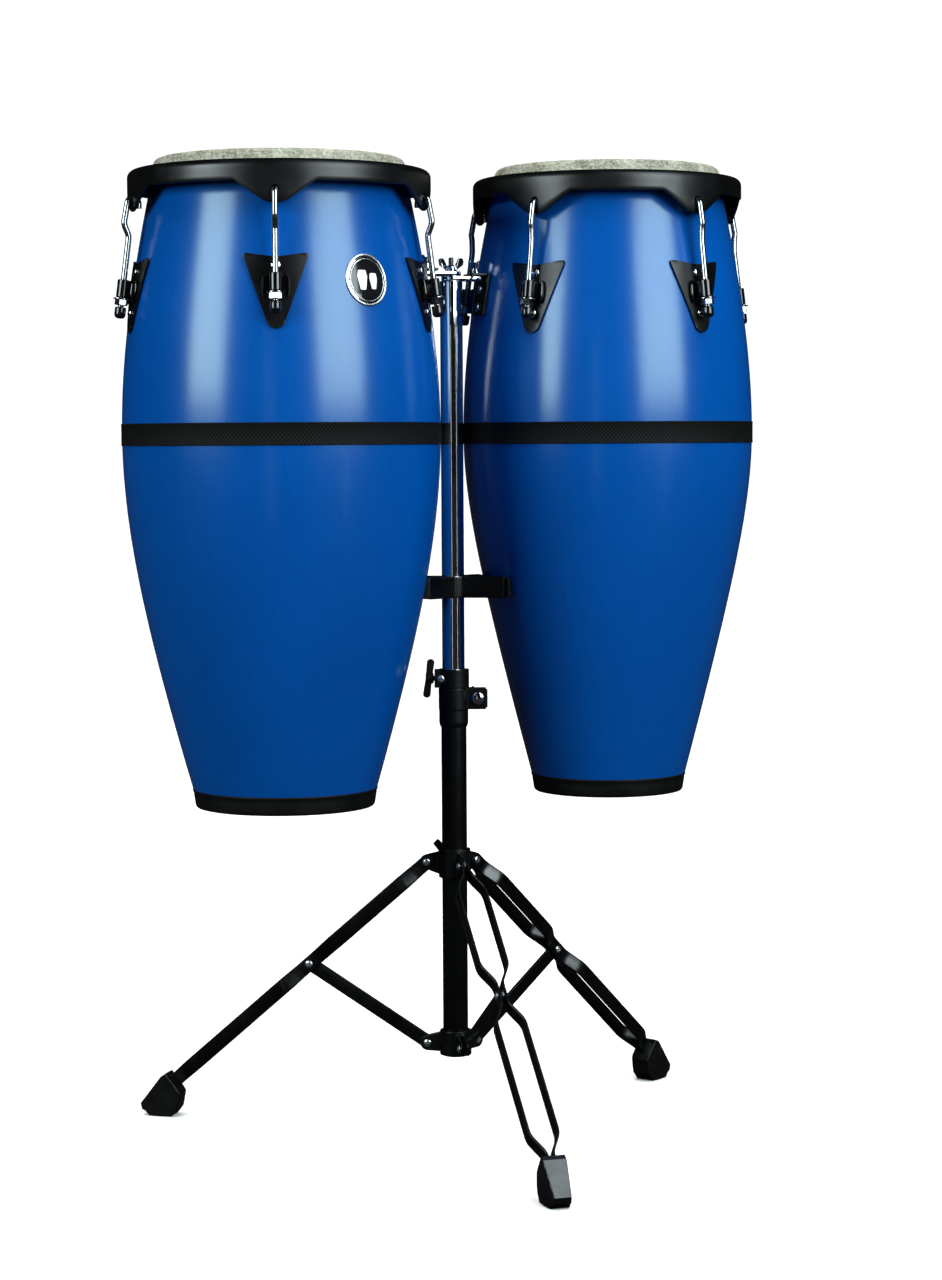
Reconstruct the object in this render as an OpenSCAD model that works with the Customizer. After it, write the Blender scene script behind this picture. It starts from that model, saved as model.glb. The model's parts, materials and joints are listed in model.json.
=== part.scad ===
// Pair of conga drums, 11 inch and 10 inch, on a folding double stand. Millimetres, +Z up.
// +X runs from the large drum to the small drum, -Y is the players' audience side.

/* [Drums] */
// Height of each drum, from the crown of its head to its bottom ring
drum_height = 711; // [640:1:740]
// Greatest radius of the large drum's shell
large_belly_r = 175; // [168:0.5:180]
// Greatest radius of the small drum's shell
small_belly_r = 165.2; // [158:0.2:170]
// Wall thickness of the shells
shell_wall = 7; // [5:0.5:9]
// Depth of the belly's middle below the crown of the head
belly_depth = 300; // [280:1:320]
// Height of the black band around the belly
band_h = 24; // [16:1:30]
// Height of the rubber ring at the bottom
ring_h = 20.7; // [16:0.1:24]

/* [Tuning hardware] */
// Number of hook rods on each drum
rods = 5; // [5:1:5]
// Radius of a hook rod
rod_r = 3.3; // [2.8:0.1:3.5]
// Distance from the shell to the middle of a rod, at its lug
rod_standoff = 14.5; // [14:0.1:16]
// Lean of the rods away from the drum's axis, in degrees
rod_lean = 7.5; // [6:0.5:9]

/* [Stand] */
// Height of the crown of the heads above the floor
drum_top = 1092; // [1085:1:1100]
// Distance from the stand's axis to the nearest point of each belly
belly_gap = 24; // [23.5:0.1:25]
// Radius of the lower, black tube
lower_r = 14.3; // [14.3:0.1:14.3]
// Radius of the upper, chrome tube
upper_r = 12.7; // [12.7:0.1:12.7]
// Turn of the tripod under the drums, in degrees
tripod_turn = -3; // [-30:1:30]
// Turn of the height clamp under the drums, in degrees
clamp_turn = -20; // [-40:1:40]

/* [Tripod] */
// Distance from the stand's axis to the leg and brace pivots
pivot_r = 32; // [31:0.5:34]
// Height of the leg pivots
leg_pivot_z = 306; // [300:1:310]
// Height of the brace pivots on the lower collar
brace_pivot_z = 98; // [96:1:100]
// Distance from the stand's axis to the pivots between leg and brace
knee_r = 172; // [168:1:176]
// Height of the pivots between leg and brace
knee_z = 184; // [180:1:188]
// Length of a leg strip beyond its upper pivot
leg_len = 430; // [420:1:434]
// Width of the leg and brace strips
strip_w = 16; // [14:1:17]
// Thickness of a leg strip
strip_t = 2.8; // [2.4:0.1:2.8]
// Distance between the two strips of a leg, middle to middle, where they bow apart
bow = 32; // [28:1:34]

/* [Hidden] */
$fn = 64;

// The stand's axis, from the middle of the whole object's footprint
pole_x = 9.7;
pole_y = 81.8;

// Values that differ between the drums are lists: large drum first, small drum second
belly_r = [large_belly_r, small_belly_r];
side = [-1, 1];
// Each shell's outline is a hyperbola above the belly and another below it
upper_slope = 0.29;
upper_curve = 252;
lower_slope = [0.33, 0.275];
lower_curve = [235, 135];
rim_r = [165.8, 152.8];

function shell_slope(k, s) = s < belly_depth ? upper_slope : lower_slope[k];
function shell_curve(k, s) = s < belly_depth ? upper_curve : lower_curve[k];
// Outer radius of shell k at depth s below the crown of its head
function shell_r(k, s) = let (t = s - belly_depth, b = shell_curve(k, s))
    belly_r[k] - shell_slope(k, s) * (sqrt(t * t + b * b) - b);
// Slope of the shell's wall from the vertical, in degrees, positive where it widens downward
function shell_tilt(k, s) = atan((shell_r(k, s + 1) - shell_r(k, s - 1)) / 2);
// A drum outline is drawn as [radius, depth below the crown] and stood up in place
function upright(points) = [for (p = points) [p[0], drum_top - p[1]]];
function drum_x(k) = side[k] * (belly_r[k] + belly_gap);
// Direction from a drum's axis to the stand's axis
function facing(k) = k == 0 ? 0 : 180;
// Rods stand evenly about each drum, with the stand bracket midway between two of them
function lug_angle(k, i) = facing(k) + 180 / rods + i * 360 / rods;
// Outer radius of the shell just below its bearing edge
function edge_r(k) = shell_r(k, 10);

module at_pole() translate([pole_x, pole_y, 0]) children();
module at_drum(k) at_pole() translate([drum_x(k), 0, 0]) children();
module turned(k, outline) at_drum(k) rotate_extrude($fn = 180) polygon(upright(outline));

// ------------------------------------------------------------------ shells and heads
// Depths of the lug plates' middle, the lug's eye and the screws, below the crown
plate_depth = 151;
eye_depth = 143;
screw_depths = [125.2, 169.5];
shell_top = 2.3;
shell_end = drum_height - 4;
rebate = 3.2;
ring_top = drum_height - ring_h;

function bearing_edge(k) = [[edge_r(k) - 8.5, shell_top], [edge_r(k) - 5, 2.9], [edge_r(k) - 2.1, 5.3],
                            [edge_r(k) - 0.6, 9.5]];
function shell_outside(k) = [for (s = [14 : 13 : ring_top - 6]) [shell_r(k, s), s]];
function shell_inside(k) = [for (s = [shell_end : -24 : 24]) [shell_r(k, s) - shell_wall, s]];

module shell(k) {
    turned(k, concat(bearing_edge(k), shell_outside(k),
                     [[shell_r(k, ring_top), ring_top], [shell_r(k, ring_top) - rebate, ring_top],
                      [shell_r(k, shell_end) - rebate, shell_end]],
                     shell_inside(k), [[edge_r(k) - 12, 8]]));
}
module shell_large() color([0.0, 0.3, 0.7]) shell(0);
module shell_small() color([0.0, 0.3, 0.7]) shell(1);

module belly_band(k) {
    top = belly_depth - band_h / 2;
    inner = belly_r[k] + 0.05;
    turned(k, [[inner, top], [inner + 0.8, top], [inner + 0.8, top + band_h], [inner, top + band_h]]);
}
module belly_band_large() color([0.06, 0.06, 0.06]) belly_band(0);
module belly_band_small() color([0.06, 0.06, 0.06]) belly_band(1);

module bottom_ring(k) {
    lip = shell_r(k, ring_top);
    bore = shell_r(k, shell_end) - shell_wall;
    turned(k, [[lip - rebate + 0.1, ring_top], [lip + 0.4, ring_top], [lip - 1.2, ring_top + 8],
               [lip - 3.2, drum_height - 2], [lip - 5.5, drum_height], [bore, drum_height],
               [bore, shell_end + 0.1], [shell_r(k, shell_end) - rebate + 0.1, shell_end + 0.1]]);
}
module bottom_ring_large() color([0.08, 0.08, 0.08]) bottom_ring(0);
module bottom_ring_small() color([0.08, 0.08, 0.08]) bottom_ring(1);

module drum_head(k) {
    e = edge_r(k);
    upper_face = [[0, 0], [e - 8.2, 0], [e - 4.2, 0.6], [e - 0.4, 3.2], [e + 2, 8.5], [e + 4.1, 13.5],
                  [e + 7.5, 20]];
    lower_face = [[e + 5.3, 20], [e + 1.8, 14], [e - 0.2, 9], [e - 1.8, 4.9], [e - 4.7, 2.5], [e - 8.2, 2],
                  [0, 2]];
    turned(k, concat(upper_face, lower_face));
}
module drum_head_large() color([0.72, 0.70, 0.62]) drum_head(0);
module drum_head_small() color([0.72, 0.70, 0.62]) drum_head(1);

// ------------------------------------------------------------------ rim, hoop and hook rods
hoop_top = 15.5;
hoop_h = 7;
rim_top = 13.6;
rim_end = 36.5;
rim_t = 3.5;
roll_r = 8;
ear_end = 60.7;
ear_base_w = 88;
ear_tip_r = 28;
eyelet_depth = 45.8;
hook_r = 6.2;

module flesh_hoop(k) {
    e = edge_r(k);
    turned(k, [[e + 7.9, hoop_top], [e + 13.9, hoop_top], [e + 13.9, hoop_top + hoop_h],
               [e + 7.9, hoop_top + hoop_h]]);
}
module flesh_hoop_large() color([0.55, 0.55, 0.57]) flesh_hoop(0);
module flesh_hoop_small() color([0.55, 0.55, 0.57]) flesh_hoop(1);

// Outline of an ear: shoulders that slope down to a rounded tip at the origin
module ear_outline() {
    h = ear_end - rim_end;
    polygon(concat([[-ear_base_w / 2, h + 8], [-ear_base_w / 2, h]],
                   [for (a = [-32 : 8 : 32]) [ear_tip_r * sin(a), ear_tip_r - ear_tip_r * cos(a)]],
                   [[ear_base_w / 2, h], [ear_base_w / 2, h + 8]]));
}

// Ears reach up inside the skirt's thickness, a little thinner than it
module ear(k) {
    skin = 0.1;
    ear_h = ear_end - rim_end + 6;
    translate([0, 0, drum_top - ear_end]) intersection() {
        difference() {
            cylinder(r = rim_r[k] - skin, h = ear_h, $fn = 180);
            translate([0, 0, -1]) cylinder(r = rim_r[k] - rim_t + skin, h = ear_h + 2, $fn = 180);
        }
        translate([100, 0, 0]) rotate([90, 0, 90]) linear_extrude(100) ear_outline();
    }
}

module rim(k) {
    e = edge_r(k);
    o = rim_r[k];
    roll = [for (a = [90 : -15 : 0]) [o - roll_r + roll_r * cos(a), rim_top + roll_r - roll_r * sin(a)]];
    inner_roll = [for (a = [0 : 30 : 90]) [o - roll_r + (roll_r - rim_t) * cos(a),
                                           rim_top + roll_r - (roll_r - rim_t) * sin(a)]];
    difference() {
        union() {
            turned(k, concat([[e + 7, 15.2], [e + 7, 14.6], [e + 8.5, rim_top]], roll, [[o, rim_end],
                             [o - rim_t, rim_end]], inner_roll, [[e + 14.5, 17.1], [e + 14.5, 15.2]]));
            at_lugs(k) ear(k);
        }
        at_lugs(k) translate([o - 12, 0, drum_top - eyelet_depth]) rotate([0, 90, 0]) cylinder(r = 4.6, h = 20);
    }
}
module rim_large() color([0.07, 0.07, 0.08]) rim(0);
module rim_small() color([0.07, 0.07, 0.08]) rim(1);

// Radius of the middle of a rod from the drum's axis, at depth s on its leaning part
function rod_at(k, s) = shell_r(k, eye_depth) + rod_standoff + tan(rod_lean) * (s - eye_depth);
jog_out_depth = 72;
jog_in_depth = 90;
rod_end = 170;
hook_depth = eyelet_depth + hook_r;
function hook_x(k) = rim_r[k] - rim_t / 2;

// Middle line of a hook rod, as [radius, depth below the crown]: hook, jog and leaning stem
function hook_arc(k) = [for (a = [180 : -22.5 : 0])
    [hook_x(k) + hook_r * cos(a), hook_depth - hook_r * sin(a)]];
function rod_path(k) = let (out = rim_r[k] + 8) concat([[hook_x(k) - hook_r, hook_depth + 5]], hook_arc(k),
    [[hook_x(k) + hook_r, hook_depth + 3], [out - 0.6, jog_out_depth - 5], [out, jog_out_depth],
     [out - 0.9, jog_out_depth + 4], [rod_at(k, jog_in_depth) + 0.5, jog_in_depth - 4],
     [rod_at(k, jog_in_depth + 3), jog_in_depth + 3], [rod_at(k, rod_end), rod_end]]);

// A round bar of radius r along a path of [x, z] points in the plane y = 0
module bent_bar(path, r, sides) {
    n = len(path);
    along = [for (i = [0 : n - 1]) let (d = path[min(i + 1, n - 1)] - path[max(i - 1, 0)]) d / norm(d)];
    ring = [for (i = [0 : n - 1], j = [0 : sides - 1]) let (a = j * 360 / sides)
        [path[i][0] - r * cos(a) * along[i][1], r * sin(a), path[i][1] + r * cos(a) * along[i][0]]];
    quads = [for (i = [0 : n - 2], j = [0 : sides - 1]) let (m = (j + 1) % sides)
        [i * sides + j, i * sides + m, (i + 1) * sides + m, (i + 1) * sides + j]];
    ends = [[for (j = [sides - 1 : -1 : 0]) j], [for (j = [0 : sides - 1]) (n - 1) * sides + j]];
    polyhedron(ring, concat(quads, ends), convexity = 6);
}

rod_sides = 10;
module hook_rod(k) bent_bar(upright(rod_path(k)), rod_r, rod_sides);

// Each child is drawn once at every lug, in the plane y = 0 of its own lug
module at_lugs(k) at_drum(k) for (i = [0 : rods - 1]) rotate([0, 0, lug_angle(k, i)]) children();

module hook_rods_large() color([0.75, 0.76, 0.78]) at_lugs(0) hook_rod(0);
module hook_rods_small() color([0.75, 0.76, 0.78]) at_lugs(1) hook_rod(1);

// Children stand on the leaning rod's axis, with z = 0 at depth s and +Z up along the rod
module on_rod(k, s) translate([rod_at(k, s), 0, drum_top - s]) rotate([0, -rod_lean, 0]) children();

eye_h = 19;
eye_r = 6.5;
eye_bore = 4;
washer_h = 2;
nut_h = 6;
nut_depth = eye_depth + eye_h / 2 + washer_h + 0.2;

module rod_cap(k) {
    on_rod(k, 175) difference() {
        rotate_extrude() polygon([[0, 0], [3.4, 0], [5.3, 1.2], [6.1, 3.4], [6.1, 12.2], [0, 12.2]]);
        translate([0, 0, 5]) cylinder(r = rod_r + 0.02, h = 10);
    }
}
module rod_caps_large() color([0.05, 0.05, 0.05]) at_lugs(0) rod_cap(0);
module rod_caps_small() color([0.05, 0.05, 0.05]) at_lugs(1) rod_cap(1);

module tuning_nut(k) {
    on_rod(k, nut_depth) translate([0, 0, 0.1]) difference() {
        rotate_extrude() polygon([[0, 0], [9.4, 0], [9.4, 0.8], [6.2, washer_h], [0, washer_h]]);
        translate([0, 0, -1]) cylinder(r = eye_bore, h = 5);
    }
    on_rod(k, nut_depth) translate([0, 0, -nut_h]) difference() {
        cylinder(r = 7.3, h = nut_h, $fn = 6);
        translate([0, 0, -1]) cylinder(r = eye_bore, h = nut_h + 2);
    }
}
module tuning_nuts_large() color([0.78, 0.79, 0.8]) at_lugs(0) tuning_nut(0);
module tuning_nuts_small() color([0.78, 0.79, 0.8]) at_lugs(1) tuning_nut(1);

// ------------------------------------------------------------------ lugs, screws and badge
plate_t = 2.6;
plate_corner = 35;
plate_up = 40;
plate_down = 40;

module plate_outline() {
    difference() {
        hull() {
            for (m = [-1, 1]) translate([m * (plate_corner - 2), plate_up - 2]) circle(r = 2, $fn = 16);
            translate([0, 7.5 - plate_down]) circle(r = 7.5);
        }
        polygon([[-plate_corner, plate_up + 1.2], [0, plate_up - 5], [plate_corner, plate_up + 1.2]]);
    }
}

// A thin sheet on the shell at depth s, with the children's outline, lifted from the shell by a gap
module on_shell(k, s, gap, t) {
    r = shell_r(k, s);
    translate([r, 0, drum_top - s]) rotate([0, -shell_tilt(k, s), 0]) intersection() {
        translate([-r, 0, -60]) difference() {
            cylinder(r = r + gap + t, h = 120, $fn = 180);
            translate([0, 0, -1]) cylinder(r = r + gap, h = 122, $fn = 180);
        }
        translate([-40, 0, 0]) rotate([90, 0, 90]) linear_extrude(60) children();
    }
}

module lug(k) {
    lift = rod_at(k, eye_depth) - shell_r(k, eye_depth);
    difference() {
        union() {
            on_shell(k, plate_depth, 0.3, plate_t) plate_outline();
            on_rod(k, eye_depth) translate([0, 0, -eye_h / 2]) {
                cylinder(r = eye_r, h = eye_h);
                translate([0, 0, 1]) linear_extrude(eye_h - 2)
                    polygon([[0, -5.6], [0, 5.6], [1 - lift, 9], [1 - lift, -9]]);
            }
            for (m = [-1, 1]) on_rod(k, eye_depth + 2) translate([3.4 - lift, m * 13.2, 0])
                rotate([0, 0, m * -14]) cube([7.4, 3, 23], center = true);
        }
        on_rod(k, eye_depth) translate([0, 0, -eye_h]) cylinder(r = eye_bore, h = 2 * eye_h);
        for (s = screw_depths) screw_place(k, s) translate([0, 0, -6]) cylinder(r = 2.6, h = 12);
    }
}
module lugs_large() color([0.08, 0.08, 0.08]) at_lugs(0) lug(0);
module lugs_small() color([0.08, 0.08, 0.08]) at_lugs(1) lug(1);

// Children stand on the shell at depth s, with +Z straight out of the shell
module screw_place(k, s)
    translate([shell_r(k, s), 0, drum_top - s]) rotate([0, 90 - shell_tilt(k, s), 0]) children();

module shell_screw() {
    cylinder(r = 2.5, h = 12, center = true);
    translate([0, 0, 3.3]) intersection() {
        cylinder(r = 5.3, h = 3);
        translate([0, 0, -4.2]) sphere(r = 7);
    }
}
bracket_screws = [14.5, 35];
module shell_screws(k) {
    at_lugs(k) for (s = screw_depths) screw_place(k, s) shell_screw();
    at_drum(k) rotate([0, 0, facing(k)]) for (s = bracket_screws)
        screw_place(k, tab_depth(k) + s) shell_screw();
}
module shell_screws_large() color([0.75, 0.76, 0.78]) shell_screws(0);
module shell_screws_small() color([0.75, 0.76, 0.78]) shell_screws(1);

badge_depth = 138.8;
module badge() color([0.1, 0.1, 0.1]) at_drum(0) rotate([0, 0, lug_angle(0, 3) + 180 / rods])
    on_shell(0, badge_depth, 0.1, 1.8) scale([0.93, 1]) circle(r = 28);

// ------------------------------------------------------------------ top of the stand
tube_top = 961;
arm_t = 5;
arm_z = [967.8, 962.5];
arm_w = 22;
arm_end = 35.3;
stud_x = 29;
stud_r = 3;
stud_fit = 0.06;
tab_t = 3;
function tab_z(k) = arm_z[k] + arm_t + 0.3;
function tab_depth(k) = drum_top - tab_z(k);

module arm_plate(k) {
    at_pole() scale([side[k], 1, 1]) translate([0, 0, arm_z[k]]) difference() {
        linear_extrude(arm_t) union() {
            circle(r = arm_w / 2);
            translate([0, -arm_w / 2]) square([arm_end - 4, arm_w]);
            translate([arm_end - 4, 4 - arm_w / 2]) square([4, arm_w - 8]);
            for (m = [-1, 1]) translate([arm_end - 4, m * (arm_w / 2 - 4)]) circle(r = 4);
        }
        translate([0, 0, -1]) cylinder(r = stud_r + stud_fit, h = arm_t + 2);
        translate([stud_x, 0, -1]) cylinder(r = stud_r, h = arm_t + 2);
    }
}
module arm_plate_large() color([0.8, 0.81, 0.83]) arm_plate(0);
module arm_plate_small() color([0.8, 0.81, 0.83]) arm_plate(1);

module arm_studs() color([0.7, 0.71, 0.73]) at_pole() for (k = [0, 1])
    translate([side[k] * stud_x, 0, arm_z[k]]) cylinder(r = stud_r, h = arm_t + 16);

// The tab lies on the arm plate and its slot is open towards the stand's axis
module stand_bracket(k) {
    z = tab_z(k);
    reach = belly_r[k] + belly_gap - stud_x;
    wall = shell_r(k, tab_depth(k)) + 0.4;
    at_drum(k) rotate([0, 0, facing(k)]) difference() {
        union() {
            translate([wall - 2, -15, z]) cube([reach + 9 - wall + 2, 30, tab_t]);
            intersection() {
                translate([0, 0, z + tab_t - 120]) cylinder(r = shell_r(k, belly_depth), h = 120, $fn = 180);
                on_shell(k, tab_depth(k) + 19.5, 0.3, 3) square([36, 49], center = true);
            }
        }
        translate([reach, 0, z - 1]) cylinder(r = stud_r + 0.3, h = tab_t + 2);
        translate([reach, -stud_r - 0.3, z - 1]) cube([20, 2 * stud_r + 0.6, tab_t + 2]);
        translate([0, 0, z - 30]) cylinder(r = shell_r(k, tab_depth(k)), h = 60, $fn = 180);
        for (s = bracket_screws)
            screw_place(k, tab_depth(k) + s) translate([0, 0, -6]) cylinder(r = 2.6, h = 12);
    }
}
module stand_bracket_large() color([0.08, 0.08, 0.08]) stand_bracket(0);
module stand_bracket_small() color([0.08, 0.08, 0.08]) stand_bracket(1);

// Hub with two rising ears, its hole on the Z axis and its foot at z = 0
module wing_nut(span_r, hub_r, hole_r) {
    difference() {
        union() {
            cylinder(r1 = hub_r + 1.2, r2 = hub_r - 0.6, h = 6.5);
            rotate([90, 0, 0]) linear_extrude(3.4, center = true) for (m = [-1, 1]) hull() {
                translate([m * (span_r - 3.4), 11.2]) circle(r = 3.4);
                translate([m * (span_r - 4.2), 5]) circle(r = 2.6);
                translate([m * (hole_r + 1.6), 3]) circle(r = 1.6);
            }
        }
        translate([0, 0, -1]) cylinder(r = hole_r, h = 20);
    }
}
module pole_wing_nut() color([0.8, 0.81, 0.83]) at_pole()
    translate([0, 0, arm_z[0] + arm_t + 0.3]) rotate([0, 0, -20]) wing_nut(14.5, 5.6, stud_r + stud_fit);
module drum_wing_nut(k) at_pole() translate([side[k] * stud_x, 0, tab_z(k) + tab_t + 0.3])
    rotate([0, 0, 25]) wing_nut(10.4, 5, stud_r + stud_fit);
module wing_nut_large() color([0.8, 0.81, 0.83]) drum_wing_nut(0);
module wing_nut_small() color([0.8, 0.81, 0.83]) drum_wing_nut(1);

// Plug in the top of the upper tube, with a flange under the arm plates and the middle stud
module pole_head() color([0.7, 0.71, 0.73]) at_pole() {
    translate([0, 0, tube_top - 30]) cylinder(r = upper_r - 1.45, h = 30);
    translate([0, 0, tube_top]) cylinder(r = upper_r, h = 1.3);
    translate([0, 0, tube_top]) cylinder(r = stud_r, h = 27.5);
}

upper_end = 280;
module upper_tube() color([0.78, 0.79, 0.82]) at_pole() translate([0, 0, upper_end]) difference() {
    cylinder(r = upper_r, h = tube_top - upper_end, $fn = 96);
    translate([0, 0, -1]) cylinder(r = upper_r - 1.4, h = tube_top - upper_end + 2);
}

// ------------------------------------------------------------------ cradle between the drums
cradle_z = 607.5;
cradle_h = 24;
cradle_half = 50;
cradle_wall = 4;
pad_t = 3;
pad_gap = 0.5;
cradle_depth = drum_top - cradle_z - cradle_h;
function pad_back(k) = shell_r(k, cradle_depth) + pad_gap + pad_t;

// Bow-tie outline, grown or shrunk by g, between the two drums
module cradle_outline(g) {
    offset(delta = g) difference() {
        union() {
            circle(r = upper_r + cradle_wall + 1);
            for (x = [-62, 62]) polygon([[0, -15], [x, -cradle_half], [x, cradle_half], [0, 15]]);
        }
        for (k = [0, 1]) translate([drum_x(k), 0]) circle(r = pad_back(k), $fn = 240);
    }
}
module cradle_band() color([0.07, 0.07, 0.07]) at_pole() translate([0, 0, cradle_z]) difference() {
    union() {
        linear_extrude(cradle_h) difference() {
            cradle_outline(0);
            cradle_outline(-cradle_wall);
        }
        cylinder(r = upper_r + cradle_wall + 0.5, h = cradle_h);
    }
    translate([0, 0, -1]) cylinder(r = upper_r + 0.02, h = cradle_h + 2, $fn = 96);
}

// Rubber pads on the cradle's hollow faces, shaped to each drum's slope
module cradle_pad(k) {
    span = asin((cradle_half - 3) / pad_back(k));
    top = cradle_depth + 1;
    low = cradle_depth + cradle_h - 1;
    back = pad_back(k) - 0.1;
    translate([drum_x(k), 0, 0]) rotate([0, 0, facing(k) - span]) rotate_extrude(angle = 2 * span, $fn = 240)
        polygon(upright([[shell_r(k, top) + pad_gap, top], [back, top], [back, low],
                         [shell_r(k, low) + pad_gap, low]]));
}
module cradle_pads() color([0.05, 0.05, 0.05]) at_pole() for (k = [0, 1]) cradle_pad(k);

// ------------------------------------------------------------------ height clamp and memory lock
clamp_z = 481;
clamp_top = 505;
clamp_r = 17;
sleeve_end = 461;
lower_top = 470;
bolt_x = 27.5;
bolt_z = 493.5;
lug_half = 8;

module at_clamp() at_pole() rotate([0, 0, clamp_turn]) children();

module lower_tube() color([0.06, 0.06, 0.06]) at_pole() translate([0, 0, 84.5]) difference() {
    cylinder(r = lower_r, h = lower_top - 84.5, $fn = 96);
    translate([0, 0, 3]) cylinder(r = lower_r - 1.2, h = lower_top);
}

module height_clamp() color([0.05, 0.05, 0.05]) at_clamp() difference() {
    union() {
        translate([0, 0, clamp_z]) cylinder(r = clamp_r, h = clamp_top - clamp_z);
        translate([0, 0, sleeve_end]) cylinder(r1 = lower_r + 0.8, r2 = 16.5, h = 5);
        translate([0, 0, sleeve_end + 5]) cylinder(r = 16.5, h = clamp_z - sleeve_end - 5);
        translate([0, -lug_half, clamp_z]) cube([36.5, 2 * lug_half, clamp_top - clamp_z]);
        translate([36.4, 0, clamp_z + 2]) linear_extrude(clamp_top - clamp_z - 4)
            square([4, 2 * lug_half - 3], center = true);
    }
    translate([0, 0, sleeve_end - 1]) cylinder(r = lower_r + 0.02, h = lower_top - sleeve_end + 1, $fn = 96);
    translate([0, 0, lower_top - 0.5]) cylinder(r = 15.2, h = 60, $fn = 96);
    translate([0, -1, clamp_z - 1]) cube([60, 2, 40]);
    translate([bolt_x, 0, bolt_z]) rotate([90, 0, 0]) cylinder(r = 4.05, h = 40, center = true);
}

// Nylon bushing that the upper tube slides and turns in
module tube_bushing() color([0.85, 0.85, 0.82]) at_clamp() translate([0, 0, lower_top + 0.2]) difference() {
    cylinder(r = 15.1, h = clamp_top - lower_top - 0.4, $fn = 96);
    translate([0, 0, -1]) cylinder(r = upper_r + 0.08, h = 60, $fn = 96);
    translate([0, -1, -1]) cube([30, 2, 60]);
}

module clamp_bolt() color([0.8, 0.81, 0.83]) at_clamp() translate([bolt_x, 0, bolt_z]) rotate([90, 0, 0]) {
    translate([0, 0, -21]) cylinder(r = 4, h = 21 + lug_half + 0.1);
    translate([0, 0, lug_half + 0.1]) intersection() {
        cylinder(r = 7.6, h = 5);
        translate([0, 0, -5.4]) sphere(r = 9.4);
    }
}
module clamp_wing_nut() color([0.06, 0.06, 0.06]) at_clamp() translate([bolt_x, lug_half + 0.3, bolt_z])
    rotate([-90, 0, 0]) rotate([0, 0, 60]) wing_nut(13.2, 6.4, 4 + stud_fit);

lock_z = 505.4;
lock_h = 21;
lock_r = 17.6;
lock_screw_x = -14;
module memory_lock() color([0.06, 0.06, 0.06]) at_clamp() difference() {
    union() {
        translate([0, 0, lock_z]) cylinder(r = lock_r, h = lock_h);
        translate([-21.5, -11, lock_z + 0.5]) cube([14, 22, lock_h - 1]);
    }
    translate([0, 0, lock_z - 1]) cylinder(r = upper_r + 0.06, h = lock_h + 2, $fn = 96);
    translate([-30, 0, lock_z + lock_h / 2]) rotate([0, 90, 0]) cylinder(r = 3.06, h = 20);
    translate([lock_screw_x, 0, lock_z + lock_h / 2]) rotate([90, 0, 0]) {
        translate([0, 0, 8]) cylinder(r = 2.5, h = 6);
        translate([0, 0, 11]) cylinder(r = 5.2, h = 8);
    }
}
module memory_lock_screw() color([0.6, 0.62, 0.63])
    at_clamp() translate([lock_screw_x, -11, lock_z + lock_h / 2]) rotate([90, 0, 0]) {
        translate([0, 0, -3]) cylinder(r = 2.5, h = 4);
        translate([0, 0, 0.1]) cylinder(r1 = 4.6, r2 = 3.4, h = 1.8);
    }

// Wing bolt along Z: a threaded shank below z = 0, a hub and two long wings above it
module wing_bolt(span_r, shank, shank_r, lean) {
    translate([0, 0, -shank]) cylinder(r = shank_r, h = shank + 2);
    cylinder(r = 6, h = 9);
    rotate([90, 0, 0]) linear_extrude(7, center = true) for (m = [-1, 1]) hull() {
        translate([0, 5.5]) circle(r = 3.5);
        translate([m * (span_r - 4.4), 5.5 + m * lean]) circle(r = 4.3);
    }
}
module memory_lock_wing() color([0.05, 0.05, 0.05]) at_clamp() translate([-22.5, 0, lock_z + lock_h / 2])
    rotate([0, -90, 0]) rotate([0, 0, 4]) wing_bolt(22, 7, 3, -2.2);

// ------------------------------------------------------------------ tripod
leg_angles = [270, 30, 150];
collar_bore = lower_r + 0.08;
collar_r = 18;
lug_t = 3.6;
gap_half = lug_t / 2 + 0.3;
strip_mid = gap_half + strip_t / 2;
pin_r = 3;
pin_fit = 0.06;
eye_out = 8.5;
leg_tilt = atan((knee_r - pivot_r) / (leg_pivot_z - knee_z));
brace_tilt = atan((knee_r - pivot_r) / (knee_z - brace_pivot_z));
knee_len = norm([knee_r - pivot_r, leg_pivot_z - knee_z]);
brace_len = norm([knee_r - pivot_r, knee_z - brace_pivot_z]);

module at_leg(i) at_pole() rotate([0, 0, leg_angles[i] + tripod_turn]) children();
// Children lie along the leg: +X down the leg from its pivot, +Z to its upper face
module along_leg(i) at_leg(i) translate([pivot_r, 0, leg_pivot_z]) rotate([0, 90 - leg_tilt, 0]) children();
module along_brace(i)
    at_leg(i) translate([pivot_r, 0, brace_pivot_z]) rotate([0, brace_tilt - 90, 0]) children();
// A hole or pin across the leg, along Y
module across(r, half) rotate([90, 0, 0]) cylinder(r = r, h = 2 * half, center = true);

module collar_ring(z0, z1) translate([0, 0, z0]) cylinder(r = collar_r, h = z1 - z0, $fn = 96);
// Flat lug from the ring to a rounded end about the pivot, t thick
module collar_lug(z0, z1, pivot_z, t) {
    translate([0, t / 2, 0]) rotate([90, 0, 0]) linear_extrude(t) hull() {
        translate([pivot_r, pivot_z]) circle(r = eye_out);
        translate([collar_r - 2, z0 + 1]) square([1, z1 - z0 - 2]);
    }
}

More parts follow.
